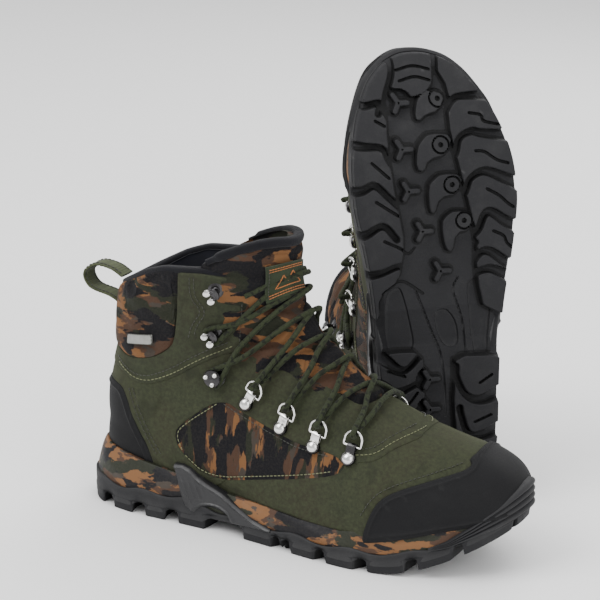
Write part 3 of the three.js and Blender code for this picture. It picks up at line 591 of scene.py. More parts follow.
def tube(path, radius, sides=10, normals=None, section=None, swell=None):
    """A round or shaped section swept along a path; the section's second direction is the normal's."""
    path = np.array(path, float)
    along = unit(np.gradient(path, axis=0))
    if normals is None:
        normal = np.cross(along[0], [0.3, 0.5, 0.8])
        turned_along = []
        for t in along:
            normal = normal - t * (normal @ t)
            normal = normal / np.linalg.norm(normal)
            turned_along.append(normal)
        normals = np.array(turned_along)
    normals = unit(normals - along * np.sum(normals * along, 1, keepdims=True))
    across = np.cross(along, normals)
    if section is None:
        turn = np.linspace(0, 2 * math.pi, sides, endpoint=False)
        section = np.stack([np.cos(turn), np.sin(turn)], 1) * radius
    section = np.array(section, float)
    size = np.ones(len(path)) if swell is None else np.asarray(swell)
    rings = path[:, None] + size[:, None, None] * (
        section[None, :, 0, None] * across[:, None] + section[None, :, 1, None] * normals[:, None]
    )
    return rings_loft(rings)


def lathe(profile, sides=24):
    """A round body about Z, from [radius, height] pairs; closed where it meets the axis."""
    turn = np.linspace(0, 2 * math.pi, sides, endpoint=False)
    rings = [np.stack([r * np.cos(turn), r * np.sin(turn), np.full(sides, z)], 1) for r, z in profile]
    return rings_loft(rings)


def moved(mesh, frame_axes, origin):
    """A mesh made about the origin, set into a frame whose axes are the rows given."""
    points, faces = mesh
    return points @ np.array(frame_axes) + origin, faces


# ---------------------------------------------------------------- the upper's surface
def sections_at(station):
    rows = np.vstack([2 * SECTIONS[0] - SECTIONS[1], SECTIONS, 2 * SECTIONS[-1] - SECTIONS[-2]])
    i = np.clip(np.floor(station).astype(int), 0, len(SECTIONS) - 2)
    t = (station - i)[:, None]
    a, b, c, d = rows[i], rows[i + 1], rows[i + 2], rows[i + 3]
    return b + 0.5 * t * (c - a + t * (2 * a - 5 * b + 4 * c - d + t * (3 * b - a - 3 * c + d)))


def skin_point(station, angle):
    """A point of the upper; the angle is 0 at the section's front and positive towards the inner side."""
    station, angle = np.broadcast_arrays(np.asarray(station, float), np.asarray(angle, float))
    shape = station.shape
    angle = (angle.ravel() + math.pi) % (2 * math.pi) - math.pi
    back_x, back_z, front_x, front_z, width, centre, belly, above, below = sections_at(station.ravel()).T
    turn = np.abs(angle)
    power = 2 / np.where(turn < math.pi / 2, above, below)
    rise = np.abs(np.cos(turn)) ** power
    share = np.where(turn < math.pi / 2, belly + (1 - belly) * rise, belly - belly * rise)
    y = centre + np.sign(angle) * width * np.abs(np.sin(turn)) ** power
    x = back_x + (front_x - back_x) * share
    z = back_z + (front_z - back_z) * share
    return np.stack([x, y, z], -1).reshape(shape + (3,))


def skin_out(station, angle):
    along = skin_point(station + 0.05, angle) - skin_point(station - 0.05, angle)
    across = skin_point(station, angle + 0.04) - skin_point(station, angle - 0.04)
    return unit(np.cross(across, along))


def skin_frame(station, angle, height=0.0):
    """Axes and origin for a piece of hardware: x towards the throat, y along the row, z off the skin."""
    along = unit(skin_point(station + 0.05, angle) - skin_point(station - 0.05, angle))
    across = unit(skin_point(station, angle + 0.04) - skin_point(station, angle - 0.04))
    out = unit(np.cross(across, along))
    towards = -math.copysign(1, angle) * across
    side = unit(np.cross(out, towards))
    return np.array([towards, side, out]), skin_point(station, angle) + out * height


def make_skin(pitch=1.6, around=190):
    """The whole upper as a grid of points with their normals: rows run from the toe to the collar."""
    fine = np.linspace(0, 18, 1801)
    steps = [np.linalg.norm(np.diff(skin_point(fine, a), axis=0), axis=1) for a in (0.01, 0.9, 1.6, -0.9)]
    length = np.concatenate([[0], np.cumsum(np.mean(steps, 0))])
    stations = np.interp(np.linspace(0, length[-1], int(length[-1] / pitch)), length, fine)
    angles = np.linspace(-math.pi + 1e-4, math.pi - 1e-4, 1601)
    rows = []
    for station in stations:
        ring = skin_point(station, angles)
        run = np.concatenate([[0], np.cumsum(np.linalg.norm(np.diff(ring, axis=0), axis=1))])
        at = np.linspace(0, run[-1], around)
        rows.append(np.stack([np.interp(at, run, column) for column in ring.T], 1))
    points = np.array(rows)
    across = np.gradient(np.pad(points, ((0, 0), (1, 1), (0, 0)), mode="wrap"), axis=1)[:, 1:-1]
    normals = unit(np.cross(across, np.gradient(points, axis=0)))
    data = np.concatenate([points, normals], -1).reshape(-1, 6)
    return data, grid_faces(len(stations), around), (len(stations), around)


SKIN, SKIN_FACES, SKIN_SHAPE = make_skin()
SIDE_VIEW = SKIN[:, [0, 2]]
ABOVE_SOLE = [(-20, 37)] + [(x, z - 4) for x, z in MIDSOLE_TOP] + [(330, 42)]


FAR_OUTSIDE = -20  # a field's value where a panel can't be
THROAT_LOWEST = 72  # the throat's plan counts only above this height
SHAFT_EDGE = 113  # x of the shaft's facings


def throat_field(half, end, shaft):
    """How far inside the throat each point of the upper lies."""
    turns = np.linspace(-math.pi / 2, math.pi / 2, 13)
    tip = [(end - 10 + 12 * math.cos(t), THROAT_CENTRE + half * math.sin(t)) for t in turns]
    plan = [(90, THROAT_CENTRE - half)] + tip + [(90, THROAT_CENTRE + half)]
    cut = inside(plan, SKIN[:, :2])
    cut = np.where(SKIN[:, 2] > THROAT_LOWEST, cut, FAR_OUTSIDE)
    cut = np.where(SKIN[:, 0] < SHAFT_EDGE, np.minimum(cut, SKIN[:, 0] - SHAFT_EDGE), cut)
    return np.maximum(cut, inside(round_off(shaft, 1), SIDE_VIEW))


COLLAR = [(330, 130)] + COLLAR_TOP[::-1]
UNDER_COLLAR = inside(ABOVE_SOLE + COLLAR, SIDE_VIEW)
THROAT_EDGE = throat_field(THROAT_HALF, THROAT_END, SHAFT_FRONT)
BODY_FIELD = np.minimum(UNDER_COLLAR, -THROAT_EDGE)
FIELDS = {
    name: inside(round_off(outline), SIDE_VIEW)
    for name, outline in {
        "rand": RAND, "heel": HEEL_PATCH, "side": SIDE_PANEL, "cuff": CUFF, "band": ANKLE_BAND, "vamp": VAMP,
    }.items()
}
EDGE_AT = (0, 0.25, 0.6, 1.1, 1.8)  # distances from a panel's edge where its rounding changes
EDGE_SINKS = -0.8  # how deep the edge itself lies, under the next panel's surface


def edge_height(distance, lift):
    return np.interp(distance, EDGE_AT, (EDGE_SINKS, 0.5 * lift, 0.8 * lift, 0.95 * lift, lift))


def wavy(points, size, depth, seed=0.0):
    """A soft unevenness: a few sine waves at odd angles."""
    total = np.zeros(len(points))
    for k, (a, b, c) in enumerate([(1, 0.6, 0.3), (-0.5, 1.1, 0.7), (0.4, -0.8, 1.2), (1.3, 0.2, -0.9)]):
        total += np.sin((points @ np.array([a, b, c])) * 2 * math.pi / size + 1.7 * k + seed)
    return total * depth / 4


PAD_PRESSURE, PAD_FRAMES = 4, 20


def inflate(points, faces, pinned, limit):
    """Lets air into a pad whose rim and back are held, and keeps each point within a limit, in mm."""
    obj = add_mesh("pad_being_filled", points * MM, faces)
    group = obj.vertex_groups.new(name="held")
    group.add(np.where(pinned)[0].tolist(), 1.0, "REPLACE")
    cloth_modifier = obj.modifiers.new("fill", "CLOTH")
    settings = cloth_modifier.settings
    settings.quality = 5
    settings.mass = 0.2
    settings.vertex_group_mass = "held"
    settings.use_pressure = True
    settings.uniform_pressure_force = PAD_PRESSURE
    settings.shrink_min = -0.03
    settings.effector_weights.gravity = 0
    cloth_modifier.collision_settings.use_collision = False
    scene = bpy.context.scene
    for step in range(1, PAD_FRAMES + 1):
        scene.frame_set(step)
    filled = obj.evaluated_get(bpy.context.evaluated_depsgraph_get()).data
    moved_points = np.empty(len(points) * 3)
    filled.vertices.foreach_get("co", moved_points)
    shift = moved_points.reshape(-1, 3) / MM - points
    size = np.linalg.norm(shift, axis=1, keepdims=True)
    scene.frame_set(1)
    mesh = obj.data
    bpy.data.objects.remove(obj)
    bpy.data.meshes.remove(mesh)
    return points + shift * np.minimum(1, limit / np.maximum(size, 1e-6))


def panel(field, lift, thickness=1.8, shape=None, levels=(), base=0.0, fill=0.0):
    """A panel of the upper where the field is positive, raised over the skin, with a rounded edge.
    shape gives each point more height from its place and its distance from the edge, levels are further
    distances at which it bends, and fill is how far a padded panel may swell."""
    data = np.column_stack([SKIN, field])
    faces = SKIN_FACES
    near = (field[faces] > -8).any(1)
    data, faces = keep(*tidy(data, faces[near]), 6)
    for level in sorted(set(EDGE_AT[1:]) | set(levels)):
        data, faces = split(data, faces, 6, level)
    points, normals, distance = data[:, :3], data[:, 3:6], data[:, 6]
    height = base + edge_height(distance, lift) + (flare(points) if base == 0 else 0)
    if shape is not None:
        height = height + shape(points, distance)
    points, faces = thicken(points + normals * height[:, None], faces, normals, thickness)
    if fill:
        held = np.concatenate([distance < 1.2, np.ones(len(distance), bool)])
        points = inflate(points, faces, held, fill)
    return points, faces


TREE = BVHTree.FromPolygons([tuple(p) for p in SKIN[:, :3]], SKIN_FACES.tolist())
SKIN_NORMALS = SKIN[:, 3:6]
FAR_ASIDE = 130  # where the rays towards the boot's side start


def side_place(x, z, side):
    """The upper's place under a point of the side view, with its outward direction."""
    place, _, index, _ = TREE.ray_cast(Vector((x, side * FAR_ASIDE, z)), Vector((0, -side, 0)))
    if place is None:
        return None
    return np.array(place), unit(SKIN_NORMALS[SKIN_FACES[index]].mean(0))


def on_side(points, side, lift=0.0):
    """Places on the upper under a line of the side view, with the skin's outward directions."""
    found = [side_place(x, z, side) for x, z in resample(points, 0.7)]
    found = [(place + out * lift, out) for place, out in filter(None, found)]
    return np.array([place for place, _ in found]), np.array([out for _, out in found])


STITCH = lathe([(0.16, -1.0), (0.3, -0.72), (0.34, 0), (0.3, 0.72), (0.16, 1.0)], 6)


def stitches(places, outs, pitch=2.9, length=2.1, width=1.0):
    """A row of separate stitches along a line of places."""
    along = np.concatenate([[0], np.cumsum(np.linalg.norm(np.diff(places, axis=0), axis=1))])
    shape = STITCH[0] * [width, width, length / 2]
    made = []

    def here(distance, table):
        return np.array([np.interp(distance, along, column) for column in table.T])

    for at in np.arange(pitch / 2, along[-1] - pitch / 3, pitch):
        run = unit(here(at + 0.6, places) - here(at - 0.6, places))
        side = unit(np.cross(run, unit(here(at, outs))))
        axes = np.array([side, np.cross(run, side), run])
        made.append(face_outwards(shape @ axes + here(at, places), STITCH[1]))
    return made


# ---------------------------------------------------------------- pieces
def add_mesh(name, points, faces, materials=(), picks=None, smooth=38):
    mesh = bpy.data.meshes.new(name)
    mesh.vertices.add(len(points))
    mesh.vertices.foreach_set("co", np.asarray(points, np.float32).ravel())
    mesh.loops.add(len(faces) * 3)
    mesh.loops.foreach_set("vertex_index", np.asarray(faces, np.int32).ravel())
    mesh.polygons.add(len(faces))
    mesh.polygons.foreach_set("loop_start", np.arange(0, len(faces) * 3, 3, dtype=np.int32))
    mesh.polygons.foreach_set("loop_total", np.full(len(faces), 3, np.int32))
    if picks is not None:
        mesh.polygons.foreach_set("material_index", np.asarray(picks, np.int32))
    mesh.update(calc_edges=True)
    mesh.validate()
    mesh.shade_smooth()
    mesh.set_sharp_from_angle(angle=math.radians(smooth))
    for material in materials:
        mesh.materials.append(material)
    obj = bpy.data.objects.new(name, mesh)
    bpy.context.scene.collection.objects.link(obj)
    return obj


def put(name, parts, body="boot", replaces=(), smooth=38, boots=("right", "left")):
    """Makes a piece for each boot from (material, mesh) parts, given in a boot's own frame."""
    materials = list(dict.fromkeys(material for material, _ in parts))
    points, faces = join(*[mesh for _, mesh in parts])
    picks = np.concatenate([np.full(len(mesh[1]), materials.index(material)) for material, mesh in parts])
    for which in boots:
        axes, origin = BOOTS[which]
        facing = faces[:, ::-1] if which == "left" else faces
        obj = add_mesh(f"{which}_{name}", points @ axes.T + origin, facing, materials, picks, smooth)
        kept = obj.data.attributes.new(PLACE, "FLOAT_VECTOR", "POINT")
        kept.data.foreach_set("vector", (points * MM).astype(np.float32).ravel())
        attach(obj, f"{which}_{body}")
        if replaces:
            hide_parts(*[f"{which}_{node}" for node in replaces])


# ---------------------------------------------------------------- the upper's panels
def midsole_top(x):
    return read(MIDSOLE_TOP, x)


def flare(points):
    """How far a panel's foot spreads to meet the midsole, most at the heel."""
    reach = np.interp(points[:, 0], (20, 60, 240, 290), (20, 12, 12, 6))
    share = np.clip((midsole_top(points[:, 0]) + reach - points[:, 2]) / reach, 0, 1.4)
    return np.interp(points[:, 0], (12, 50, 120, 240, 262), (9.5, 5.0, 3.2, 2.6, 0)) * share ** 1.5


BAND_LIFT, QUARTER_LIFT, CUFF_LIFT = 1.7, 0.9, 0.5


def creases(points, _):
    """The leather's and cloth's soft unevenness."""
    return wavy(points, 46, 0.5) + wavy(points, 19, 0.22, 2.0)


CHEVRON = [(38, 84), (62, 89), (58, 72), (52, 65), (46, 72)]
CHEVRON_HOLLOW = [(44, 81), (56, 84), (52, 73)]


def embossed(points, distance):
    """The quarter's raised chevron under the ankle."""
    depth = inside(round_off(CHEVRON), points[:, [0, 2]])
    hollow = inside(round_off(CHEVRON_HOLLOW), points[:, [0, 2]])
    return creases(points, distance) + 0.9 * np.clip(depth / 1.5, 0, 1) - 0.7 * np.clip(hollow / 1.5, 0, 1)


def moulded_edge(points, distance):
    """A second ridge just inside a rubber panel's edge."""
    return 0.8 * np.exp(-(((distance - 3.6) / 0.9) ** 2)) + wavy(points, 60, 0.2)


def quilting(points, distance):
    """The collar's padding: full between its edges, sunk along its stitched line."""
    full = 2.4 * (1 - np.exp(-np.clip(distance, 0, None) / 6))
    stay = np.exp(-(((points[:, 0] - 70) / 2.2) ** 2))
    return full + creases(points, distance) * 1.3 - 1.2 * stay


def put_panel(name, material, slot, node, field, lift, thickness=1.8, padded=None, **more):
    put(name, [(material, panel(field, lift, thickness, **more))], replaces=[node])


LAP = 1.2  # how far a panel runs on under the one that covers its edge


def make_upper():
    body = BODY_FIELD
    rubber_free = LAP - np.maximum(FIELDS["rand"], FIELDS["heel"])
    quarter = np.minimum.reduce([body, rubber_free, -FIELDS["side"], -FIELDS["vamp"], LAP - FIELDS["band"]])
    put_panel("quarter_panel", SUEDE, "green_suede", "quarter", quarter, QUARTER_LIFT, shape=embossed)
    vamp = np.minimum.reduce([body, rubber_free, FIELDS["vamp"] + 2, 1.5 - FIELDS["side"]])
    put_panel("vamp_panel", SUEDE, "green_suede", "vamp", vamp, 0.05, shape=creases)
    band = np.minimum.reduce([body, FIELDS["band"], 0.6 - FIELDS["cuff"]])
    put_panel("ankle_band_panel", SUEDE_DARK, "green_suede", "ankle_band", band, BAND_LIFT, 2.4,
              shape=creases)
    cuff = np.minimum(body, FIELDS["cuff"] + 0.6)
    put_panel("collar_cuff_pad", CAMO_WIDE, "camo_fabric", "collar_cuff", cuff, CUFF_LIFT, 2, padded=0.6,
              shape=quilting, levels=(3, 5, 8), fill=1.8)
    for name, node, field, lift, thickness in (
            ("rand_rubber", "toe_rand", "rand", 2, 2.6), ("heel_rubber", "heel_patch", "heel", 1.9, 2.4)):
        put_panel(name, RAND_RUBBER, "rand_rubber", node, np.minimum(body, FIELDS[field]), lift, thickness,
                  shape=moulded_edge, levels=(2.4, 3, 3.6, 4.2, 5))
    for name, half in (("outer", SKIN[:, 1] < 0), ("inner", SKIN[:, 1] >= 0)):
        side = np.minimum.reduce([body, FIELDS["side"] + 0.8, rubber_free])
        side = np.where(half, side, FAR_OUTSIDE)
        put_panel(f"side_camouflage_{name}", CAMO_TALL, "camo_fabric", f"side_panel_{name}", side, 0.25,
                  shape=creases)
    inner = np.minimum(UNDER_COLLAR - 0.5, 2 - throat_field(SLOT_HALF, SLOT_END, SLOT_SHAFT))
    put_panel("insulation_layer", FLEECE, "insulation_fleece", "insulation", inner, 0, 3, base=-2.5)
    put_panel("lining_mesh", LINING, "lining_fabric", "lining", inner, 0, 1.2, padded=0.3, base=-6.3,
              shape=creases)


# ---------------------------------------------------------------- tongue
def tongue_fields():
    """How far inside the slot each point of the upper lies, and how far under the tongue's top line."""
    slot = throat_field(SLOT_HALF - 1, SLOT_END - 1, SLOT_SHAFT)
    return slot, inside([(60, -200)] + TONGUE_TOP + [(330, 190), (330, -200)], SIDE_VIEW)


TONGUE_SEAMS = (127, 150, 172)  # the heights of its cross seams


def tongue_padding(points, distance):
    """The tongue's padding, sunk at its cross seams and rising to its rounded top."""
    full = 3.2 * (1 - np.exp(-np.clip(distance, 0, None) / 5))
    seams = sum(np.exp(-(((points[:, 2] - z) / 2.2) ** 2)) for z in TONGUE_SEAMS)
    return full - 1.5 * seams + creases(points, distance) * 1.4


def make_tongue():
    put_panel("tongue_pad", CAMO_WIDE, "camo_fabric", "tongue", np.minimum(*tongue_fields()), 0.3, 6.5,
              padded=0.6, shape=tongue_padding, levels=(3, 5, 8), base=-2.6, fill=1.8)


# ---------------------------------------------------------------- sole
def plan_outline(count=170):
    """The sole's edge in plan, from the heel's rear round the outer side to the toe, and its inner side."""
    outer = [(0.5, 0)] + [(x, -w) for x, _, w in SOLE_PLAN] + [(308, -2.5)]
    inner = [(0.5, 0)] + [(x, w) for x, w, _ in SOLE_PLAN] + [(308, -2.5)]
    return [resample(round_off(side, 3, closed=False), count=count) for side in (outer, inner)]


OUTER_EDGE, INNER_EDGE = plan_outline()
PLAN_LOOP = np.vstack([OUTER_EDGE, INNER_EDGE[-2:0:-1]])
PLAN_RUN = unit(np.roll(PLAN_LOOP, -1, 0) - np.roll(PLAN_LOOP, 1, 0))
PLAN_OUT = np.stack([PLAN_RUN[:, 1], -PLAN_RUN[:, 0]], 1)


def wall(levels, span=None):
    """The sole's side between levels of (height at x, how far inside the edge), closed above and below."""
    at = np.arange(len(PLAN_LOOP))
    if span is not None:
        at = at[(PLAN_LOOP[:, 0] >= span[0]) & (PLAN_LOOP[:, 0] <= span[1])]
        breaks = np.where(np.diff(at) > 1)[0]
        if len(breaks):
            at = np.roll(at, -(breaks[0] + 1))
    edge, out = PLAN_LOOP[at], PLAN_OUT[at]
    x = edge[:, 0]
    rings = []
    for height, inset in levels:
        flat = edge - out * np.broadcast_to(inset(x) if callable(inset) else inset, x.shape)[:, None]
        rings.append(np.column_stack([flat, height(x)]))
    rings = np.array(rings)
    count = len(at)
    closed = span is None
    faces = [grid_faces(len(rings), count, closed=True)]
    for level, turn in ((0, 1), (len(rings) - 1, -1)):
        start = level * count
        pairs = [(i, (count - i) % count if closed else count - 1 - i) for i in range(count // 2 + 1)]
        for (a, b), (c, d) in zip(pairs, pairs[1:]):
            cap = [t for t in ((a, b, d), (a, d, c)) if len(set(t)) == 3]
            faces.append(np.array(cap, int).reshape(-1, 3)[:, ::turn] + start)
    return face_outwards(rings.reshape(-1, 3), np.vstack([f for f in faces if len(f)]))


def plate_bottom(x):
    return ground(x) + LUG_HEIGHT


def lip(x):
    """The outsole's wavy upper edge round the midsole."""
    return outsole_top(x) + 1.4 * np.sin(x / 6.3) * np.clip((x - 8) / 20, 0, 1) + 1.2


def outsole_levels():
    """The outsole's side from under the plate, up over its notches between the lugs, to its lip."""
    gap = EDGE_GAP
    notch = NOTCH * gap

    def foot(x):
        return plate_bottom(x) + notch

    return [
        (lambda x: foot(x) + 2.5, 9),
        (lambda x: foot(x) + 0.3, 1.0 + 1.2 * gap),
        (lambda x: foot(x) - 0.2, 0.1 + 1.2 * gap),
        (lambda x: foot(x) * 0.6 + lip(x) * 0.4, 0.0 + 0.8 * gap),
        (lambda x: foot(x) * 0.3 + lip(x) * 0.7, -0.1),
        (lambda x: lip(x) - 0.7, -0.2),
        (lambda x: lip(x) - 0.15, 0.3),
        (lip, 1.0),
        (lambda x: lip(x) - 0.4, 2.6),
        (lambda x: lip(x) - 2.5, 4.0),
    ]


# The tread in plan, as (x, y). Grooves part the edge lugs; they run from the middle outwards.
GROOVES = [
    [(263, -10), (266, -17), (275, -25), (277, -34), (275, -62)],
    [(232, -20), (234, -15), (240, -22), (250, -26), (254, -35), (252, -42), (248, -68)],
    [(205, -27), (207.5, -21), (214, -27), (223, -31), (227, -41), (221, -55), (213, -70)],
    [(179, -32), (181, -26), (187, -34), (197, -39), (199, -44), (191, -55), (184, -68)],
    [(154, -25), (159, -26), (171, -34), (172, -42), (162, -55), (158, -66)],
    [(128, -30), (140, -27), (156, -30), (160, -37), (159, -45), (150, -60)],
    [(310, 13), (296, 13), (281, 20), (272, 22), (264, 19)],
    [(280, 45), (276, 36), (277, 25), (270, 27)],
    [(254, 58), (250, 40), (248, 28), (240, 24), (231, 19)],
    [(222, 62), (221, 45), (224, 35), (215, 26), (208, 19)],
    [(190, 60), (191, 44), (196, 31), (186, 22)],
    [(163, 60), (164, 36), (168, 21), (165, 6), (158, 2)],
    [(310, -19), (306, -19), (289, -16), (280, -15)],
    [(107, 50), (106, 37), (102, 32), (96, 22), (108, 8)],
    [(87, 52), (87, 40), (81, 29), (86, 14), (87, 10)],
    [(57, 52), (57, 40), (51, 28), (54, 16)],
    [(34, 52), (34, 38), (29, 27), (31, 15)],
    [(95, -14), (87, -14), (74, -20), (70, -30), (74, -44), (75, -60)],
    [(66, -15), (59, -16), (47, -20), (45, -29), (49, -44), (50, -60)],
    [(38, -15), (30, -16), (23, -21), (21, -30), (25, -44), (26, -60)],
]
BRACKETS = [
    [(283, -10), (279, -2.5), (275, 0), (266, 2.5), (263, 0), (267, -5), (269, -15), (279, -21)],
    [(253, -22), (255, -6), (252, -1), (246, 4), (232, 6), (230, 0.5), (238, -3), (240, -16)],
    [(226, -26), (228, -11), (224, -5), (220, -1.5), (202.5, -1.5), (201, -5), (212, -9), (213, -22)],
    [(199, -32.5), (202.5, -19), (199, -12.5), (194, -9), (176, -11), (174, -16), (187, -19), (188, -29)],
]
OUTER_LUGS = [(300, -16), (281, -24), (262, -19), (238, -22), (212, -27), (184, -33), (157, -31), (128, -36),
              (128, -80), (320, -80), (320, -16)]
INNER_LUGS = [(320, 12), (297, 12), (277, 20), (250, 23), (226, 22), (205, 19), (182, 16), (156, 22),
              (150, 36), (128, 38), (128, 80), (320, 80)]
TOE_BLOCK = [(281, 14), (292, 17), (310, 14), (320, 0), (310, -18), (288, -15), (281, -9), (278, 3)]
HEEL_OUTER = [(-10, -12), (98, -10), (104, -24), (92, -80), (-10, -80)]
HEEL_INNER = [(-10, 12), (84, 8), (108, 8), (110, 30), (107, 80), (-10, 80)]
HEEL_REAR = [(-10, -14), (24, -12), (28, 0), (24, 12), (-10, 14)]
LUG_SLOTS = [
    [(266, -35), (264, -43), (260, -44), (257, -54)], [(241, -36), (240, -42), (234, -50), (231, -58)],
    [(215, -42), (210, -50), (204, -56), (201, -60)], [(186, -45), (182, -52), (177, -54), (173, -58)],
    [(266, 30), (262, 24)], [(239, 36), (228, 25)], [(213, 35), (202, 20)],
    [(186, 31), (180, 20), (175, 14), (179, 9)], [(150, 34), (157, 20), (147, 5)],
    [(82, -30), (87, -39)], [(55, -25), (59, -37)], [(30, -25), (34, -37)],
    [(97, 34), (92, 22)], [(70, 34), (72, 22), (80, 14)], [(44, 34), (42, 22)], [(18, 26), (20, 14)],
    [(297, 10), (299, -2), (296, -13)], [(290, 9), (292, -2), (289, -12)],
]
RING_STUDS = [(277, -15), (247, -12.5), (220, -18), (195, -25)]
STARS = [(276, 12), (246, 14), (218, 12), (190, 4), (162, -7), (88, 5), (67, 6), (46, 0)]
WAIST_PANELS = [
    [(148, 33), (154, 22), (150, 19), (120, 13), (111, 12), (98, 20), (104, 32)],
    [(150, -25), (154, -30), (156, -39), (150, -44), (110, -40), (96, -38), (92, -30), (120, -27)],
    [(134, -2), (136, -10), (129, -16), (120, -19), (107, -19), (107, -8), (124, -2)],
]
WAIST_RIBS = [
    [(149, 10), (120, 0), (100, -6), (60, -6)], [(156, -20), (147, -16), (124, -22), (92, -24)],
]


WAIST_MIDDLE, WAIST_REACH, WAIST_RISE = 112, 24, 3.4  # the arch between the heel and the ball


def three_arms(centre, length):
    """The middle lines of a stud's three arms."""
    x, y = centre
    angles = [0.5 + k * 2 * math.pi / 3 for k in range(3)]
    return [[(x, y), (x + length * math.cos(a), y + length * math.sin(a))] for a in angles]


def tread_fields(flat):
    """How far inside the sole's edge, a lug, a shallow mark and a raised waist panel each place of the plan
    lies."""
    edge = inside(PLAN_LOOP, flat)
    zones = [inside(round_off(z, 1), flat) for z in
             (OUTER_LUGS, INNER_LUGS, TOE_BLOCK, HEEL_OUTER, HEEL_INNER, HEEL_REAR)]
    lug = np.maximum.reduce(zones)
    for groove in GROOVES:
        line = curve_through(groove, 2)
        heel = flat[:, 0] < WAIST_MIDDLE
        flared = np.clip(np.abs(flat[:, 1]) - np.where(heel, 20, 30), 0, None)
        width = 1.5 + flared * np.where(heel, 0.12, 0.06)
        lug = np.minimum(lug, distance_to(line, flat) - width)
    for bracket in BRACKETS:
        lug = np.maximum(lug, inside(round_off(bracket, 1), flat) + 0.6)
    for star in STARS:
        around = np.hypot(*(flat - star).T)
        lug = np.where(around < 10.5, np.minimum(lug, around - 9), lug)
        for arm in three_arms(star, 6.2):
            lug = np.maximum(lug, 2.5 - distance_to(arm, flat))
    mark = np.full(len(flat), -9.0)
    for slot in LUG_SLOTS:
        mark = np.maximum(mark, 1.1 - distance_to(curve_through(slot, 2), flat))
    for star in STARS:
        mark = np.maximum(mark, 1.0 - np.hypot(*(flat - star).T))
    for stud in RING_STUDS:
        around = np.hypot(*(flat - stud).T)
        lug = np.maximum(lug, 4.6 - around)
        mark = np.maximum(mark, 1.9 - around)
        mark = np.maximum(mark, 0.8 - np.abs(around - 5.6))
    waist = np.full(len(flat), -9.0)
    for outline in WAIST_PANELS:
        waist = np.maximum(waist, inside(round_off(outline, 2), flat))
    for rib in WAIST_RIBS:
        waist = np.maximum(waist, 0.9 - distance_to(curve_through(rib, 2), flat))
    return edge, np.minimum(lug, edge), np.minimum(mark, edge - 0.8), np.minimum(waist, edge - 2)


NOTCH = 3.4  # how much deeper the gaps between the lugs are at the sole's edge


def edge_gaps():
    """Where the sole's edge lies between two lugs, from 0 to 1."""
    lug = tread_fields(PLAN_LOOP - PLAN_OUT * 1.8)[1]
    gap = np.clip(0.6 - lug, 0, 1)
    return (np.roll(gap, 1) + gap * 2 + np.roll(gap, -1)) / 4


EDGE_GAP = edge_gaps()


def make_tread(pitch=1.25):
    """The sole's underside in the rubber's colour, with the bottoms of its grooves and marks in a darker rubber as
    painted shade.
    """
    xs = np.arange(-1, 310, pitch)
    ys = np.arange(-68, 53, pitch)
    flat = np.stack(np.meshgrid(xs, ys, indexing="ij"), -1).reshape(-1, 2)
    edge, lug, mark, waist = tread_fields(flat)
    data = np.column_stack([flat, edge, lug, mark, waist])
    faces = grid_faces(len(xs), len(ys))
    data, faces = keep(data, faces, 2)
    for column, levels in ((3, (-1.6, 0, 0.9, 1.5)), (4, (0, 0.5)), (5, (0, 0.7))):
        for level in levels:
            data, faces = split(data, faces, column, level)
    x, y, edge, lug, mark, waist = data.T
    depth = np.interp(lug, (0, 0.9, 1.5), (LUG_HEIGHT, 0.5, 0))
    depth = depth + NOTCH * np.clip(1 - edge / 9, 0, 1) * np.interp(lug, (0, 0.9), (1, 0))
    deeper = np.interp(mark, (0, 0.5), (0, 1))
    depth = depth + deeper * np.where(lug > 0.9, 2.6, 0.6)
    arch = WAIST_RISE * np.clip(1 - np.abs(x - WAIST_MIDDLE) / WAIST_REACH, 0, 1) ** 0.7
    depth = depth + np.where(lug < 0.5, arch, 0) + np.interp(waist, (0, 0.7), (0, 1.4)) * (lug < 0.4)
    rough = 0.12 * np.sin(x * 2.1) * (lug < 0) * (waist < 0)
    z = ground(x) + depth + rough
    # the faces in painted shade: a band round the foot of each lug and the hollows of the marks
    low = (lug[faces].mean(1) > -1.6) & (lug[faces].mean(1) < 0.85) | (mark[faces].min(1) > -0.01)
    low = low & (edge[faces].min(1) > 1.2)
    points = np.column_stack([x, y, z])
    return [(RUBBER, tidy(points, faces[~low][:, ::-1])), (GROOVE_PAINTED_SHADE, tidy(points, faces[low][:, ::-1]))]


BUMPER_START = 258
BUMPER_TOP = [(258, 20.5), (270, 26), (284, 37), (296, 48), (308, 59)]


def make_bumper():
    """The toe's rubber cap: ridges that start together on each side and part as they rise to the tip."""
    levels = [(lambda x: outsole_top(x) - 3, 3.0)]
    for share in np.linspace(0, 1, 25):
        ridge = 1.5 * abs(math.sin(share * math.pi * 4)) ** 0.7
        levels.append((
            lambda x, t=share: (outsole_top(x) + 0.6) * (1 - t) + read(BUMPER_TOP, x) * t,
            lambda x, t=share, r=ridge: 1.2 * t - 1.0 - r * np.clip((x - BUMPER_START) / 14, 0.25, 1),
        ))
    levels.append((lambda x: read(BUMPER_TOP, x) + 0.3, 3.2))
    levels.append((lambda x: read(BUMPER_TOP, x) - 1, 6.0))
    return wall(levels, span=(BUMPER_START, 400))


def camo_bulge(x, share):
    """The midsole's sculpted side: facets that swell and sink along the foot."""
    return 0.7 + 0.9 * np.sin(x / 8.5 + share * 3.1) * np.sin(share * math.pi) - 0.9 * np.sin(share * math.pi)


def lean(x):
    """How far the midsole's side leans in from its foot to its top."""
    return np.interp(x, (5, 50, 120, 250, 290), (5.5, 3.5, 2.2, 2.2, 1.5))


def make_midsole():
    levels = [(lambda x: outsole_top(x) - 2, 3.2)]
    for share in np.linspace(0, 1, 11):
        levels.append((
            lambda x, s=share: (outsole_top(x) + 0.4) * (1 - s) + (midsole_top(x) + 0.5) * s,
            lambda x, s=share: camo_bulge(x, s) + 0.6 + lean(x) * s ** 1.6,
        ))
    levels.append((lambda x: midsole_top(x) + 0.9, lambda x: lean(x) + 1.6))
    levels.append((lambda x: midsole_top(x) + 0.6, lambda x: lean(x) + 6))
    return wall(levels, span=(2, 400))


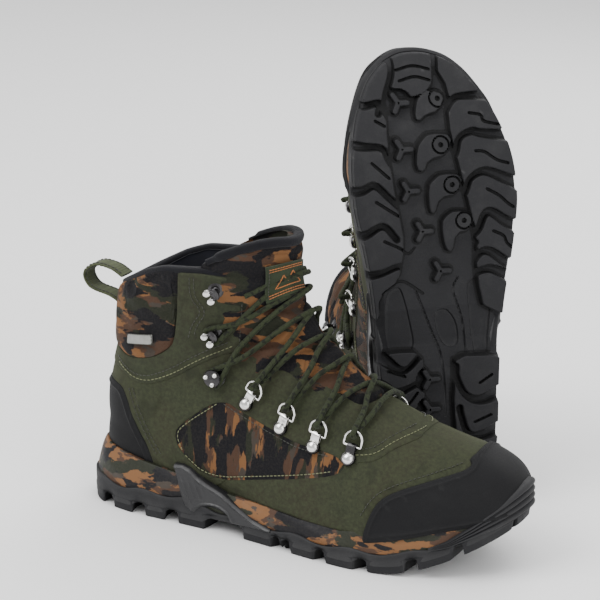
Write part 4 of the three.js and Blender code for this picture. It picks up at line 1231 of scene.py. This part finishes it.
SHANK_BACK, SHANK_FRONT = 74, 150
SHANK_TOP = [(74, 41), (80, 41.5), (86, 40), (92, 36), (100, 32.5), (112, 28.5), (122, 23), (136, 16),
             (150, 12.5)]
SHANK_FOOT = [(74, 38), (78, 30), (82, 20), (86, 13), (92, 10.5), (128, 9.5), (150, 10.5)]
ARCH = (105, 8.5, 15, 10)  # the scoop's middle, x and z, and its half length and height


def arch_relief(x, z):
    """How far the shank stands out: a scoop under the waist with a raised rim, and ribs behind it."""
    middle_x, middle_z, half_x, half_z = ARCH
    out = np.hypot((x - middle_x) / half_x, (z - middle_z) / half_z)
    scoop = -2.6 * np.clip((1 - out) * 5, 0, 1)
    rim = 0.9 * np.exp(-(((out - 1.1) / 0.07) ** 2))
    ribs = 0.7 * np.clip(np.sin((x * 0.9 + z * 0.5) * 1.5), 0, 1) * np.clip((out - 1.3) * 6, 0, 1)
    return scoop + rim + ribs * np.clip((100 - x) / 4, 0, 1) * np.clip((34 - z) / 4, 0, 1)


def make_shank():
    """The waist's plate: a band up each side with a raised rim, ribs and a scooped arch."""
    count = 34
    parts = []
    for edge, side in ((OUTER_EDGE, -1), (INNER_EDGE, 1)):
        rings = []
        for x in np.linspace(SHANK_BACK, SHANK_FRONT, 96):
            low, high = float(read(SHANK_FOOT, x)), float(read(SHANK_TOP, x))
            high = max(high, low + 1.5)
            y = np.interp(x, edge[:, 0], edge[:, 1])
            z = np.linspace(low, high, count)
            share = (z - low) / (high - low)
            rounding = 1.4 * (1 - np.clip(np.minimum(share, 1 - share) * (high - low) / 1.2, 0, 1)) ** 2
            bevel = 0.9 * np.exp(-(((high - z - 2.2) / 0.9) ** 2))
            inset = lean(x) * np.clip((z - 16) / 24, 0, 1) ** 1.6
            out = 1.0 + bevel - rounding - inset + arch_relief(x, z)
            front = np.column_stack([np.full(count, x), y + side * out, z])
            back = np.array([(x, y - side * 6, high), (x, y - side * 6, low)])
            rings.append(np.vstack([front, back]))
        parts.append(rings_loft(rings))
    return join(*parts)


def make_sole():
    outsole = make_tread() + [(RUBBER, join(wall(outsole_levels()), make_bumper()))]
    put("outsole_tread", outsole, replaces=["outsole"], smooth=30)
    put("midsole_foam", [(CAMO_FOAM, make_midsole())], replaces=["midsole"], smooth=30)
    put("shank_arch", [(PLASTIC, make_shank())], replaces=["shank"], smooth=30)


# ---------------------------------------------------------------- hardware
def strap_along(path, half_width, half_thickness):
    """A flat strap along a line that runs in x and z, with its width along y."""
    w, t = half_width, half_thickness
    section = round_off([(-w, -t), (w, -t), (w, t), (-w, t)], 1)
    return tube(path, 1, normals=strap_normals(path), section=section)


def strap_normals(path):
    return np.cross(unit(np.gradient(path, axis=0)), [0, 1.0, 0])


def hook_shapes(station, angle):
    """An open lace hook: a dark riveted base and arms, with two lobes standing over it whose bright nickel is a
    painted highlight on the dark hook.
    """
    axes, origin = skin_frame(station, angle, GAP + 0.9)
    base = lathe([(0, -1.2), (5.4, -1.2), (5.6, 0.2), (5.0, 0.7), (2.6, 0.9), (2.2, 1.4), (0, 1.4)], 24)
    post = tube([(0, 0, 0), (0, 0, 3), (0.2, 0, 6.4)], 1.7, 14)
    dark = [moved(base, axes, origin), moved(post, axes, origin)]
    bright = []
    lobe = lathe([(0, -1.0), (1.6, -0.9), (2.5, -0.1), (2.2, 0.9), (1.2, 1.5), (0, 1.7)], 20)
    for along in (-1, 1):
        line = [(0.5, along * 1.2, 6.3), (-1.5, along * 2.6, 7.2), (-4.2, along * 3.1, 7.4)]
        arm = tube(curve_through(line, 0.6), 1.3, 12)
        # painted highlight: the two lobes are bright nickel, while the rest of the hook is dark gunmetal
        tip = (lobe[0] * [1.1, 1, 0.9] + [-4.2, along * 3.1, 7.5], lobe[1])
        dark.append(moved(arm, axes, origin))
        bright.append(moved(tip, axes, origin))
    bridge = (lobe[0] * [1.0, 1.7, 0.8] + [0.3, 0, 6.7], lobe[1])
    dark.append(moved(bridge, axes, origin))
    return dark, bright


def lock_hook_shapes(station, angle):
    """The lowest hook: a dark body that grips the lace, with three bright balls."""
    axes, origin = skin_frame(station, angle, GAP + 0.9)
    base = lathe([(0, -1.2), (6.2, -1.2), (6.4, 0.4), (5.6, 1.2), (0, 1.4)], 24)
    body = tube([(0, 0, 0), (0, 0, 3), (0, 0, 6.2)], 2.0, 14)
    cap = lathe([(0, -0.8), (5.2, -0.7), (5.7, 0), (5.2, 0.8), (2, 1.3), (0, 1.3)], 24)
    cap = (cap[0] * [1, 1.1, 1] + [-0.5, 0, 6.6], cap[1])
    dark = [moved(m, axes, origin) for m in (base, body, cap)]
    ball = lathe([(0, -1.9), (1.3, -1.5), (1.95, -0.2), (1.7, 1.0), (0.9, 1.7), (0, 1.9)], 18)
    spots = [(3, 0, 7.9), (-2.6, 3.4, 7.9), (-2.6, -3.4, 7.9)]
    return dark, [moved((ball[0] + spot, ball[1]), axes, origin) for spot in spots]


def clip_shapes(station, angle):
    """A strap folded round the ring's straight side, with a domed rivet."""
    axes, origin = skin_frame(station, angle, SEAT)
    turns = np.linspace(-math.pi / 2, math.pi / 2, 9)
    middle = 1.7
    fold = [(-9.5, 0, 0.9), (-3, 0, 0.9), (1, 0, 1.35)]
    fold += [(2 + middle * math.cos(t), 0, BAR_HEIGHT + middle * math.sin(t)) for t in turns]
    fold += [(1, 0, BAR_HEIGHT + middle), (-2.5, 0, 3.0), (-9.5, 0, 2.4)]
    strap = strap_along(np.array(fold), 3, 0.4)
    plate = lathe([(0, 0.1), (4.6, 0.1), (4.8, 0.6), (4.7, 2.3), (4.3, 2.8), (0, 2.9)], 26)
    plate = (plate[0] + [-6.2, 0, 0], plate[1])
    rivet = lathe([(0, 0), (3.7, 0), (3.9, 0.5), (3.5, 1.4), (2.5, 2.1), (1.2, 2.5), (0, 2.6)], 26)
    rivet = (rivet[0] + [-6.2, 0, 2.6], rivet[1])
    return moved(strap, axes, origin), moved(plate, axes, origin), moved(rivet, axes, origin)


def ring_shape(station, angle):
    """A D-ring of round wire, flattened on the side that the clip holds."""
    axes, origin = skin_frame(station, angle, SEAT)
    tilt = math.radians(RING_TILT)
    turned_axes = np.array([
        axes[0] * math.cos(tilt) + axes[2] * math.sin(tilt), axes[1],
        axes[2] * math.cos(tilt) - axes[0] * math.sin(tilt),
    ])
    origin = origin + axes[0] * 2 + axes[2] * BAR_HEIGHT
    half = RING_WIDTH / 2
    path = [(0, y, 0) for y in np.linspace(-half + 0.8, half - 0.8, 8)]
    path += [(0.25, half - 0.2, 0), (0.8, half, 0), (2.5, half, 0)]
    for turn in np.linspace(math.pi / 2, -math.pi / 2, 17):
        path.append((RING_LENGTH - half + half * math.cos(turn), half * math.sin(turn), 0))
    path += [(2.5, -half, 0), (0.8, -half, 0), (0.25, -half + 0.2, 0)]
    path = np.array(path)
    count, sides = len(path), 12
    run = unit(np.roll(path, -1, 0) - np.roll(path, 1, 0))
    out = np.stack([run[:, 1], -run[:, 0], np.zeros(count)], 1)
    turn = np.linspace(0, 2 * math.pi, sides, endpoint=False)
    rings = path[:, None] + WIRE * (np.cos(turn)[None, :, None] * out[:, None] +
                                    np.sin(turn)[None, :, None] * np.array([0, 0, 1.0]))
    faces = grid_faces(count + 1, sides, closed=True) % (count * sides)
    return moved(face_outwards(rings.reshape(-1, 3), faces), turned_axes, origin)


LOCKING_HOOK, DARK_CLIP = 2, 3  # how far down their rows the differing hook and clip are


def make_hardware():
    for side, name in ((-1, "outer"), (1, "inner")):
        hooks = []
        for level, (station, angle) in enumerate(HOOKS):
            shapes = lock_hook_shapes if level == LOCKING_HOOK else hook_shapes
            dark, bright = shapes(station, angle * side)
            # the upper hooks' bright nickel lobes are painted highlights
            hooks += [(GUNMETAL, m) for m in dark] + [(NICKEL, m) for m in bright]
        put(f"lace_hooks_{name}", hooks, replaces=[f"hooks_{name}"])
        clips = []
        for level, (station, angle) in enumerate(CLIPS):
            strap, plate, rivet = clip_shapes(station, angle * side)
            clips += [(GUNMETAL if level == DARK_CLIP else NICKEL, strap), (GUNMETAL, plate), (NICKEL, rivet)]
            ring = f"ring_{name}_{level + 1}"
            wire = ring_shape(station, angle * side)
            put(f"wire_{ring}", [(NICKEL, wire)], body=ring, replaces=[ring])
        put(f"ring_clips_{name}", clips, replaces=[f"clips_{name}"])


# ---------------------------------------------------------------- lace
def lace_route():
    """The lace's line: down the boot from one tucked end, round the lowest rings and back up.
    It turns at the two lower hooks and the four rings. Its ends are tucked under the facings' edges, just
    above the middle hooks."""
    holes = HOOKS[1:] + CLIPS
    bottom = len(holes) - 1
    rest = LACE_RADIUS + 1.4
    over = rest + 2 * LACE_RADIUS + 0.8

    def on(station, angle, height):
        return skin_frame(station, angle or 0.001, height)[1]

    def leaves(level):
        return 0.78 if level < len(HOOKS) - 1 else 0.52

    def turn_at(level, side, upwards):
        station, angle = holes[level]
        hook = level < len(HOOKS) - 1
        if hook:
            axes, origin = skin_frame(station, angle * side, GAP + BACKING + LACE_RADIUS + 0.8)
            other, centre, radius = axes[1] * side, 0, LACE_RADIUS + HOOK_POST + 1.2
            forward = axes[0]
        else:
            axes, origin = skin_frame(station, angle * side, SEAT)
            tilt = math.radians(RING_TILT)
            forward = axes[0] * math.cos(tilt) + axes[2] * math.sin(tilt)
            other = axes[2] * math.cos(tilt) - axes[0] * math.sin(tilt)
            origin = origin + axes[0] * 2 + axes[2] * BAR_HEIGHT
            centre, radius = RING_LENGTH, LACE_RADIUS + WIRE + 1
        points = []
        for turn in np.radians([-90, -45, 0, 45, 90]):
            ahead = forward * (centre - radius * math.cos(turn))
            points.append(origin + ahead + other * radius * math.sin(turn))
        return points if upwards else points[::-1]

    def strand(start_level, end_level, side, middle):
        start, end = [holes[k][1] * side * leaves(k) for k in (start_level, end_level)]
        rows = [(0.15, start, rest + 1.4), (0.32, start * 0.55, rest + 0.3), (0.5, 0, middle),
                (0.68, -end * 0.55, rest + 0.3), (0.85, -end, rest + 1.4)]
        low, high = holes[start_level][0], holes[end_level][0]
        return [on(low + (high - low) * share, angle, height) for share, angle, height in rows]

    def top_strand(side, middle):
        top = holes[0][0]
        return [on(top + 1.3, 0.82 * side, rest), on(top + 1.1, 0.45 * side, rest), on(top + 0.8, 0, middle),
                on(top + 0.4, -0.55 * side, rest)]

    route = top_strand(1, rest)
    for level in range(bottom + 1):
        side = 1 if level % 2 else -1
        route += turn_at(level, side, False)
        if level < bottom:
            route += strand(level, level + 1, side, rest)
    last_side = -1 if bottom % 2 else 1
    for share in (0.5, 0.25, 0, -0.25, -0.5):
        route.append(on(holes[bottom][0] - 0.1, -holes[bottom][1] * share * last_side, rest + 1))
    for level in range(bottom, -1, -1):
        side = -1 if level % 2 else 1
        route += turn_at(level, side, True)
        if level > 0:
            route += strand(level, level - 1, side, over)
    return np.array(route + top_strand(-1, over)[::-1])


def make_lace():
    path = curve_through(lace_route(), 0.55)
    sides, twist = 16, 0.62
    points, faces = tube(path, 1.75, sides)
    count = len(path) * sides
    rows, columns = np.divmod(np.arange(count), sides)
    turn = columns * math.pi / 4
    braid = np.sin(rows * twist + turn) * np.sin(rows * twist - turn)
    out = unit(points[:count] - np.repeat(path, sides, axis=0))
    points[:count] += out * (0.16 * braid)[:, None]
    put("lace_braid", [(LACE, (points, faces))], replaces=["lace"])


# ---------------------------------------------------------------- pull loop, collar binding, tag and label
def make_loop(which, route):
    """The webbing loop at the back of the collar, with two rows of stitches on each face."""
    path = curve_through([(x, 0, z) for x, z in route], 1.0)
    normals = strap_normals(path)
    parts = [(WEBBING, strap_along(path, 8, 0.95))]
    for face in (-1, 1):
        for y in (-6, 6):
            row = path + normals * face + [0, y, 0]
            parts += [(DARK_THREAD, m) for m in stitches(row, normals * face, 3.0, 2.3, 1.1)]
    put("pull_loop_webbing", parts, replaces=["pull_loop"], boots=(which,))


def top_line(field, shown):
    """Where a field ends on the upper's outside, by column of the skin: places and outward directions."""
    field, shown = field.reshape(SKIN_SHAPE), shown.reshape(SKIN_SHAPE)
    grid = SKIN.reshape(*SKIN_SHAPE, 6)
    half = SKIN_SHAPE[0] // 2
    line = {}
    for j in range(SKIN_SHAPE[1]):
        column = field[half:, j]
        ends = np.where((column[:-1] > 0) & (column[1:] <= 0))[0]
        if not len(ends):
            continue
        i = ends[-1] + half
        share = field[i, j] / (field[i, j] - field[i + 1, j])
        if shown[i, j]:
            line[j] = grid[i, j] * (1 - share) + grid[i + 1, j] * share
    return line


def smooth_line(points, rounds=4):
    for _ in range(rounds):
        middle = (points[:-2] + points[1:-1] * 2 + points[2:]) / 4
        points = np.vstack([points[:1], middle, points[-1:]])
    return points


def put_binding(name, line, order, depth, outline, swell=None):
    """A dark band rolled over a top edge: line is what top_line finds, and order is that of its columns."""
    rows = np.array([line[j] for j in order])
    path, out = smooth_line(rows[:, :3]), unit(smooth_line(rows[:, 3:6]))
    rolled = tube(path - out * depth, 1, normals=out, section=round_off(outline, 2), swell=swell)
    put(name, [(BINDING, rolled)], smooth=60)


def make_collar():
    line = top_line(UNDER_COLLAR, (THROAT_EDGE < 1) & (SKIN[:, 0] < SHAFT_EDGE))
    middle = SKIN_SHAPE[1] // 2
    order = [j for j in sorted(line) if j > middle] + [j for j in sorted(line) if j <= middle]
    outline = [(-3.0, -3.9), (1.6, -3.7), (2.4, 0), (1.6, 3.9), (-3.0, 3.9)]
    put_binding("collar_binding", line, order, 3.4, outline)


def make_tongue_binding():
    slot, below_top = tongue_fields()
    line = top_line(below_top, slot > 4)
    from_end = np.minimum(np.arange(len(line)), np.arange(len(line))[::-1])
    outline = [(-3.4, -3.6), (2.2, -3.4), (3.6, 0), (2.2, 3.4), (-3.4, 3.6)]
    put_binding("tongue_binding", line, sorted(line), 2.4, outline, swell=np.clip(from_end / 5, 0.6, 1))


def make_tag():
    """A small blank woven tag sewn on the outer side of the collar cuff."""
    outline = np.array([(35, 116), (35, 122.5), (54, 126.5), (54, 120)], float)
    flat = np.array([(x, z) for x in np.linspace(33, 56, 16) for z in np.linspace(114, 128, 12)])
    places, outs = zip(*[side_place(x, z, -1) for x, z in flat])
    data, faces = keep(np.column_stack([places, outs, inside(outline, flat)]), grid_faces(16, 12), 6)
    points, normals = data[:, :3], data[:, 3:6]
    parts = [(TAG, face_outwards(*thicken(points + normals * 4.0, faces, normals, 1.4)))]
    rim, outs = on_side(np.vstack([outline, outline[:1]]), -1, 4.1)
    parts += [(DARK_THREAD, m) for m in stitches(rim, outs, 2.2, 1.7, 0.8)]
    put("collar_tag", parts)


def make_label():
    """The tongue's woven label: an olive field with stitched bands, and a plain zigzag as its mark."""
    corners = np.array([(16.1, -0.66), (15.3, -0.04), (12.1, 0.02), (12.9, -0.56)])
    top_left, top_right, low_right, low_left = corners
    count = 15
    v, u = np.meshgrid(np.linspace(0, 1, count), np.linspace(0, 1, count), indexing="ij")
    u, v = u.reshape(-1, 1), v.reshape(-1, 1)
    at = (top_left * (1 - u) + top_right * u) * (1 - v) + (low_left * (1 - u) + low_right * u) * v
    place, out = skin_point(at[:, 0], at[:, 1]), skin_out(at[:, 0], at[:, 1])
    lift = 4.6
    field = thicken(place + out * lift, grid_faces(count, count), out, 1.2)
    parts = [(LABEL, face_outwards(*field))]
    table = np.concatenate([place + out * (lift + 0.2), out], 1).reshape(count, count, 6)

    def line(points):
        """Places and outward directions along a line given in the label's own (u, v) from 0 to 1."""
        found = []
        for x, y in resample(np.array(points) * (count - 1), 0.25):
            i, j = min(int(y), count - 2), min(int(x), count - 2)
            s, t = y - i, x - j
            upper = table[i, j] * (1 - t) + table[i, j + 1] * t
            lower = table[i + 1, j] * (1 - t) + table[i + 1, j + 1] * t
            found.append(upper * (1 - s) + lower * s)
        return np.array(found)[:, :3], np.array(found)[:, 3:]

    for height in (0.1, 0.17, 0.84, 0.91):
        parts += [(MARK, m) for m in stitches(*line([(0.06, height), (0.94, height)]), 1.9, 1.7, 1.0)]
    for across in (0.06, 0.94):
        parts += [(DARK_THREAD, m) for m in stitches(*line([(across, 0.05), (across, 0.95)]), 2.2, 1.7)]
    zigzag = [(0.2, 0.7), (0.38, 0.36), (0.48, 0.55), (0.62, 0.28), (0.82, 0.7), (0.2, 0.7)]
    parts += [(MARK, m) for m in stitches(*line(zigzag), 1.6, 1.7, 1.2)]
    put("tongue_label", parts)


# ---------------------------------------------------------------- stitching
# Lines in the side view, how high they lie over the skin, and their thread.
SEAMS = [
    ([(112, 160), (112, 132), (113, 125)], 1.9, DARK_THREAD),
    ([(80, 170), (80, 156), (88, 147), (81, 138), (78, 126)], 1.9, DARK_THREAD),
    ([(83, 170), (83, 157), (91, 147), (84, 137), (82, 128)], 1.9, DARK_THREAD),
    ([(26, 101), (45, 92), (65, 99), (87, 114), (109, 125)], 1.9, THREAD),
    ([(24, 104), (44, 95), (63, 102), (85, 117), (105, 127)], 1.9, DARK_THREAD),
    ([(102, 86), (76, 66), (74, 59), (79, 51)], 1.3, THREAD),
    ([(81, 48), (99, 36), (141, 46), (173, 54), (192, 60)], 1.0, THREAD),
    ([(187, 68), (164, 69), (148, 73), (122, 81), (106, 87)], 1.3, DARK_THREAD),
    ([(36, 86), (45, 64), (60, 40)], 1.2, DARK_THREAD),
    ([(39, 87), (48, 65), (63, 42)], 1.2, DARK_THREAD),
    ([(196, 71), (209, 72), (218, 74), (226, 81), (240, 86)], 1.3, THREAD),
    ([(198, 74), (208, 75), (216, 77), (224, 84), (238, 89)], 1.3, DARK_THREAD),
    ([(214, 36), (222, 51), (235, 59), (257, 67), (270, 72)], 0.4, DARK_THREAD),
]


def make_seams():
    parts = []
    for line, lift, material in SEAMS:
        for side in (-1, 1):
            places, outs = on_side(round_off(line, 2, closed=False), side, lift + 0.12)
            if len(places) > 3:
                parts += [(material, m) for m in stitches(places, outs)]
    put("panel_stitching", parts)


# ---------------------------------------------------------------- inside
FOOTBED_ROOM = 10.5  # from the upper's outside to the footbed's edge
FOOTBED_FLOOR, FOOTBED_FOAM = 3.6, 3.2  # its underside over the feather line, and its thickness


def footbed_sides():
    """The footbed's edge on each side: rows of x, outer y and inner y, clear of the lining."""
    around = []  # the upper at the footbed's height, once round
    for side in (-1, 1):
        found = [side_place(x, feather(x) + 6, side) for x in np.arange(12.0, 296.0, 3)[::side]]
        around += [place[:2] for place, _ in filter(None, found)]
    rows = []
    ys = np.linspace(-60, 60, 241)
    for x in np.linspace(20, 284, 100):
        room = inside(around, np.column_stack([np.full(len(ys), x), ys])) > FOOTBED_ROOM
        if room.sum() > 8:
            rows.append((x, ys[room].min(), ys[room].max()))
    return rows


def make_footbed():
    """The loose footbed, with a rim that rises round the foot."""
    count = 21
    cup = 1.8 * np.abs(np.linspace(-1, 1, count)) ** 4
    rings = []
    for x, outer, inner in footbed_sides():
        low = feather(x) + FOOTBED_FLOOR
        ys = np.linspace(outer, inner, count)
        top = np.column_stack([np.full(count, x), ys, low + FOOTBED_FOAM + cup])
        bottom = np.column_stack([np.full(count, x), ys[::-1], np.full(count, low)])
        rings.append(np.vstack([top, bottom]))
    put("footbed_foam", [(FOOTBED, rings_loft(rings))], body="footbed", replaces=["footbed"])


def paint_board():
    """The lasting boards stay as the CAD made them, hidden inside, and only get a material."""
    material = fibre("pressed_board", (150, 130, 100), 1200)
    for which in BOOTS:
        for slot in frame["nodes"][f"{which}_lasting_board"].material_slots:
            slot.material = material


# ---------------------------------------------------------------- floor and light
def make_floor():
    floor = add_mesh("floor", np.array([(-6, -6, 0), (6, -6, 0), (6, 6, 0), (-6, 6, 0)], float),
                     np.array([(0, 1, 2), (0, 2, 3)]))
    material = bpy.data.materials.new("studio_floor")
    material.use_nodes = True
    shader = material.node_tree.nodes["Principled BSDF"]
    shader.inputs["Base Color"].default_value = (0.93, 0.93, 0.93, 1)
    shader.inputs["Roughness"].default_value = 0.75
    floor.data.materials.append(material)


def area_light(name, place, target, power, size, colour=(1, 1, 1)):
    data = bpy.data.lights.new(name, "AREA")
    data.energy, data.size, data.color = power, size, colour
    light = bpy.data.objects.new(name, data)
    light.location = place
    light.rotation_euler = (Vector(target) - Vector(place)).to_track_quat("-Z", "Y").to_euler()
    bpy.context.scene.collection.objects.link(light)


def make_light():
    area_light("key", (-0.9, -1.3, 1.7), (0, 0, 0.1), 34, 1.3)
    area_light("fill", (1.6, -1.2, 0.9), (0, 0, 0.1), 15, 1.5)
    area_light("back", (0.2, 1.6, 1.4), (0, 0, 0.15), 20, 1.4)
    area_light("top", (0, -0.1, 2.2), (0, 0, 0), 18, 1.8)
    world = bpy.data.worlds.new("world")
    world.use_nodes = True
    world.node_tree.nodes["Background"].inputs["Color"].default_value = (1, 1, 1, 1)
    world.node_tree.nodes["Background"].inputs["Strength"].default_value = 1.0
    bpy.context.scene.world = world


make_upper()
make_tongue()
make_sole()
make_hardware()
make_lace()
make_loop("right", STANDING_LOOP)
make_loop("left", FLAT_LOOP)
make_collar()
make_tongue_binding()
make_tag()
make_label()
make_seams()
make_footbed()
paint_board()
make_floor()
make_light()
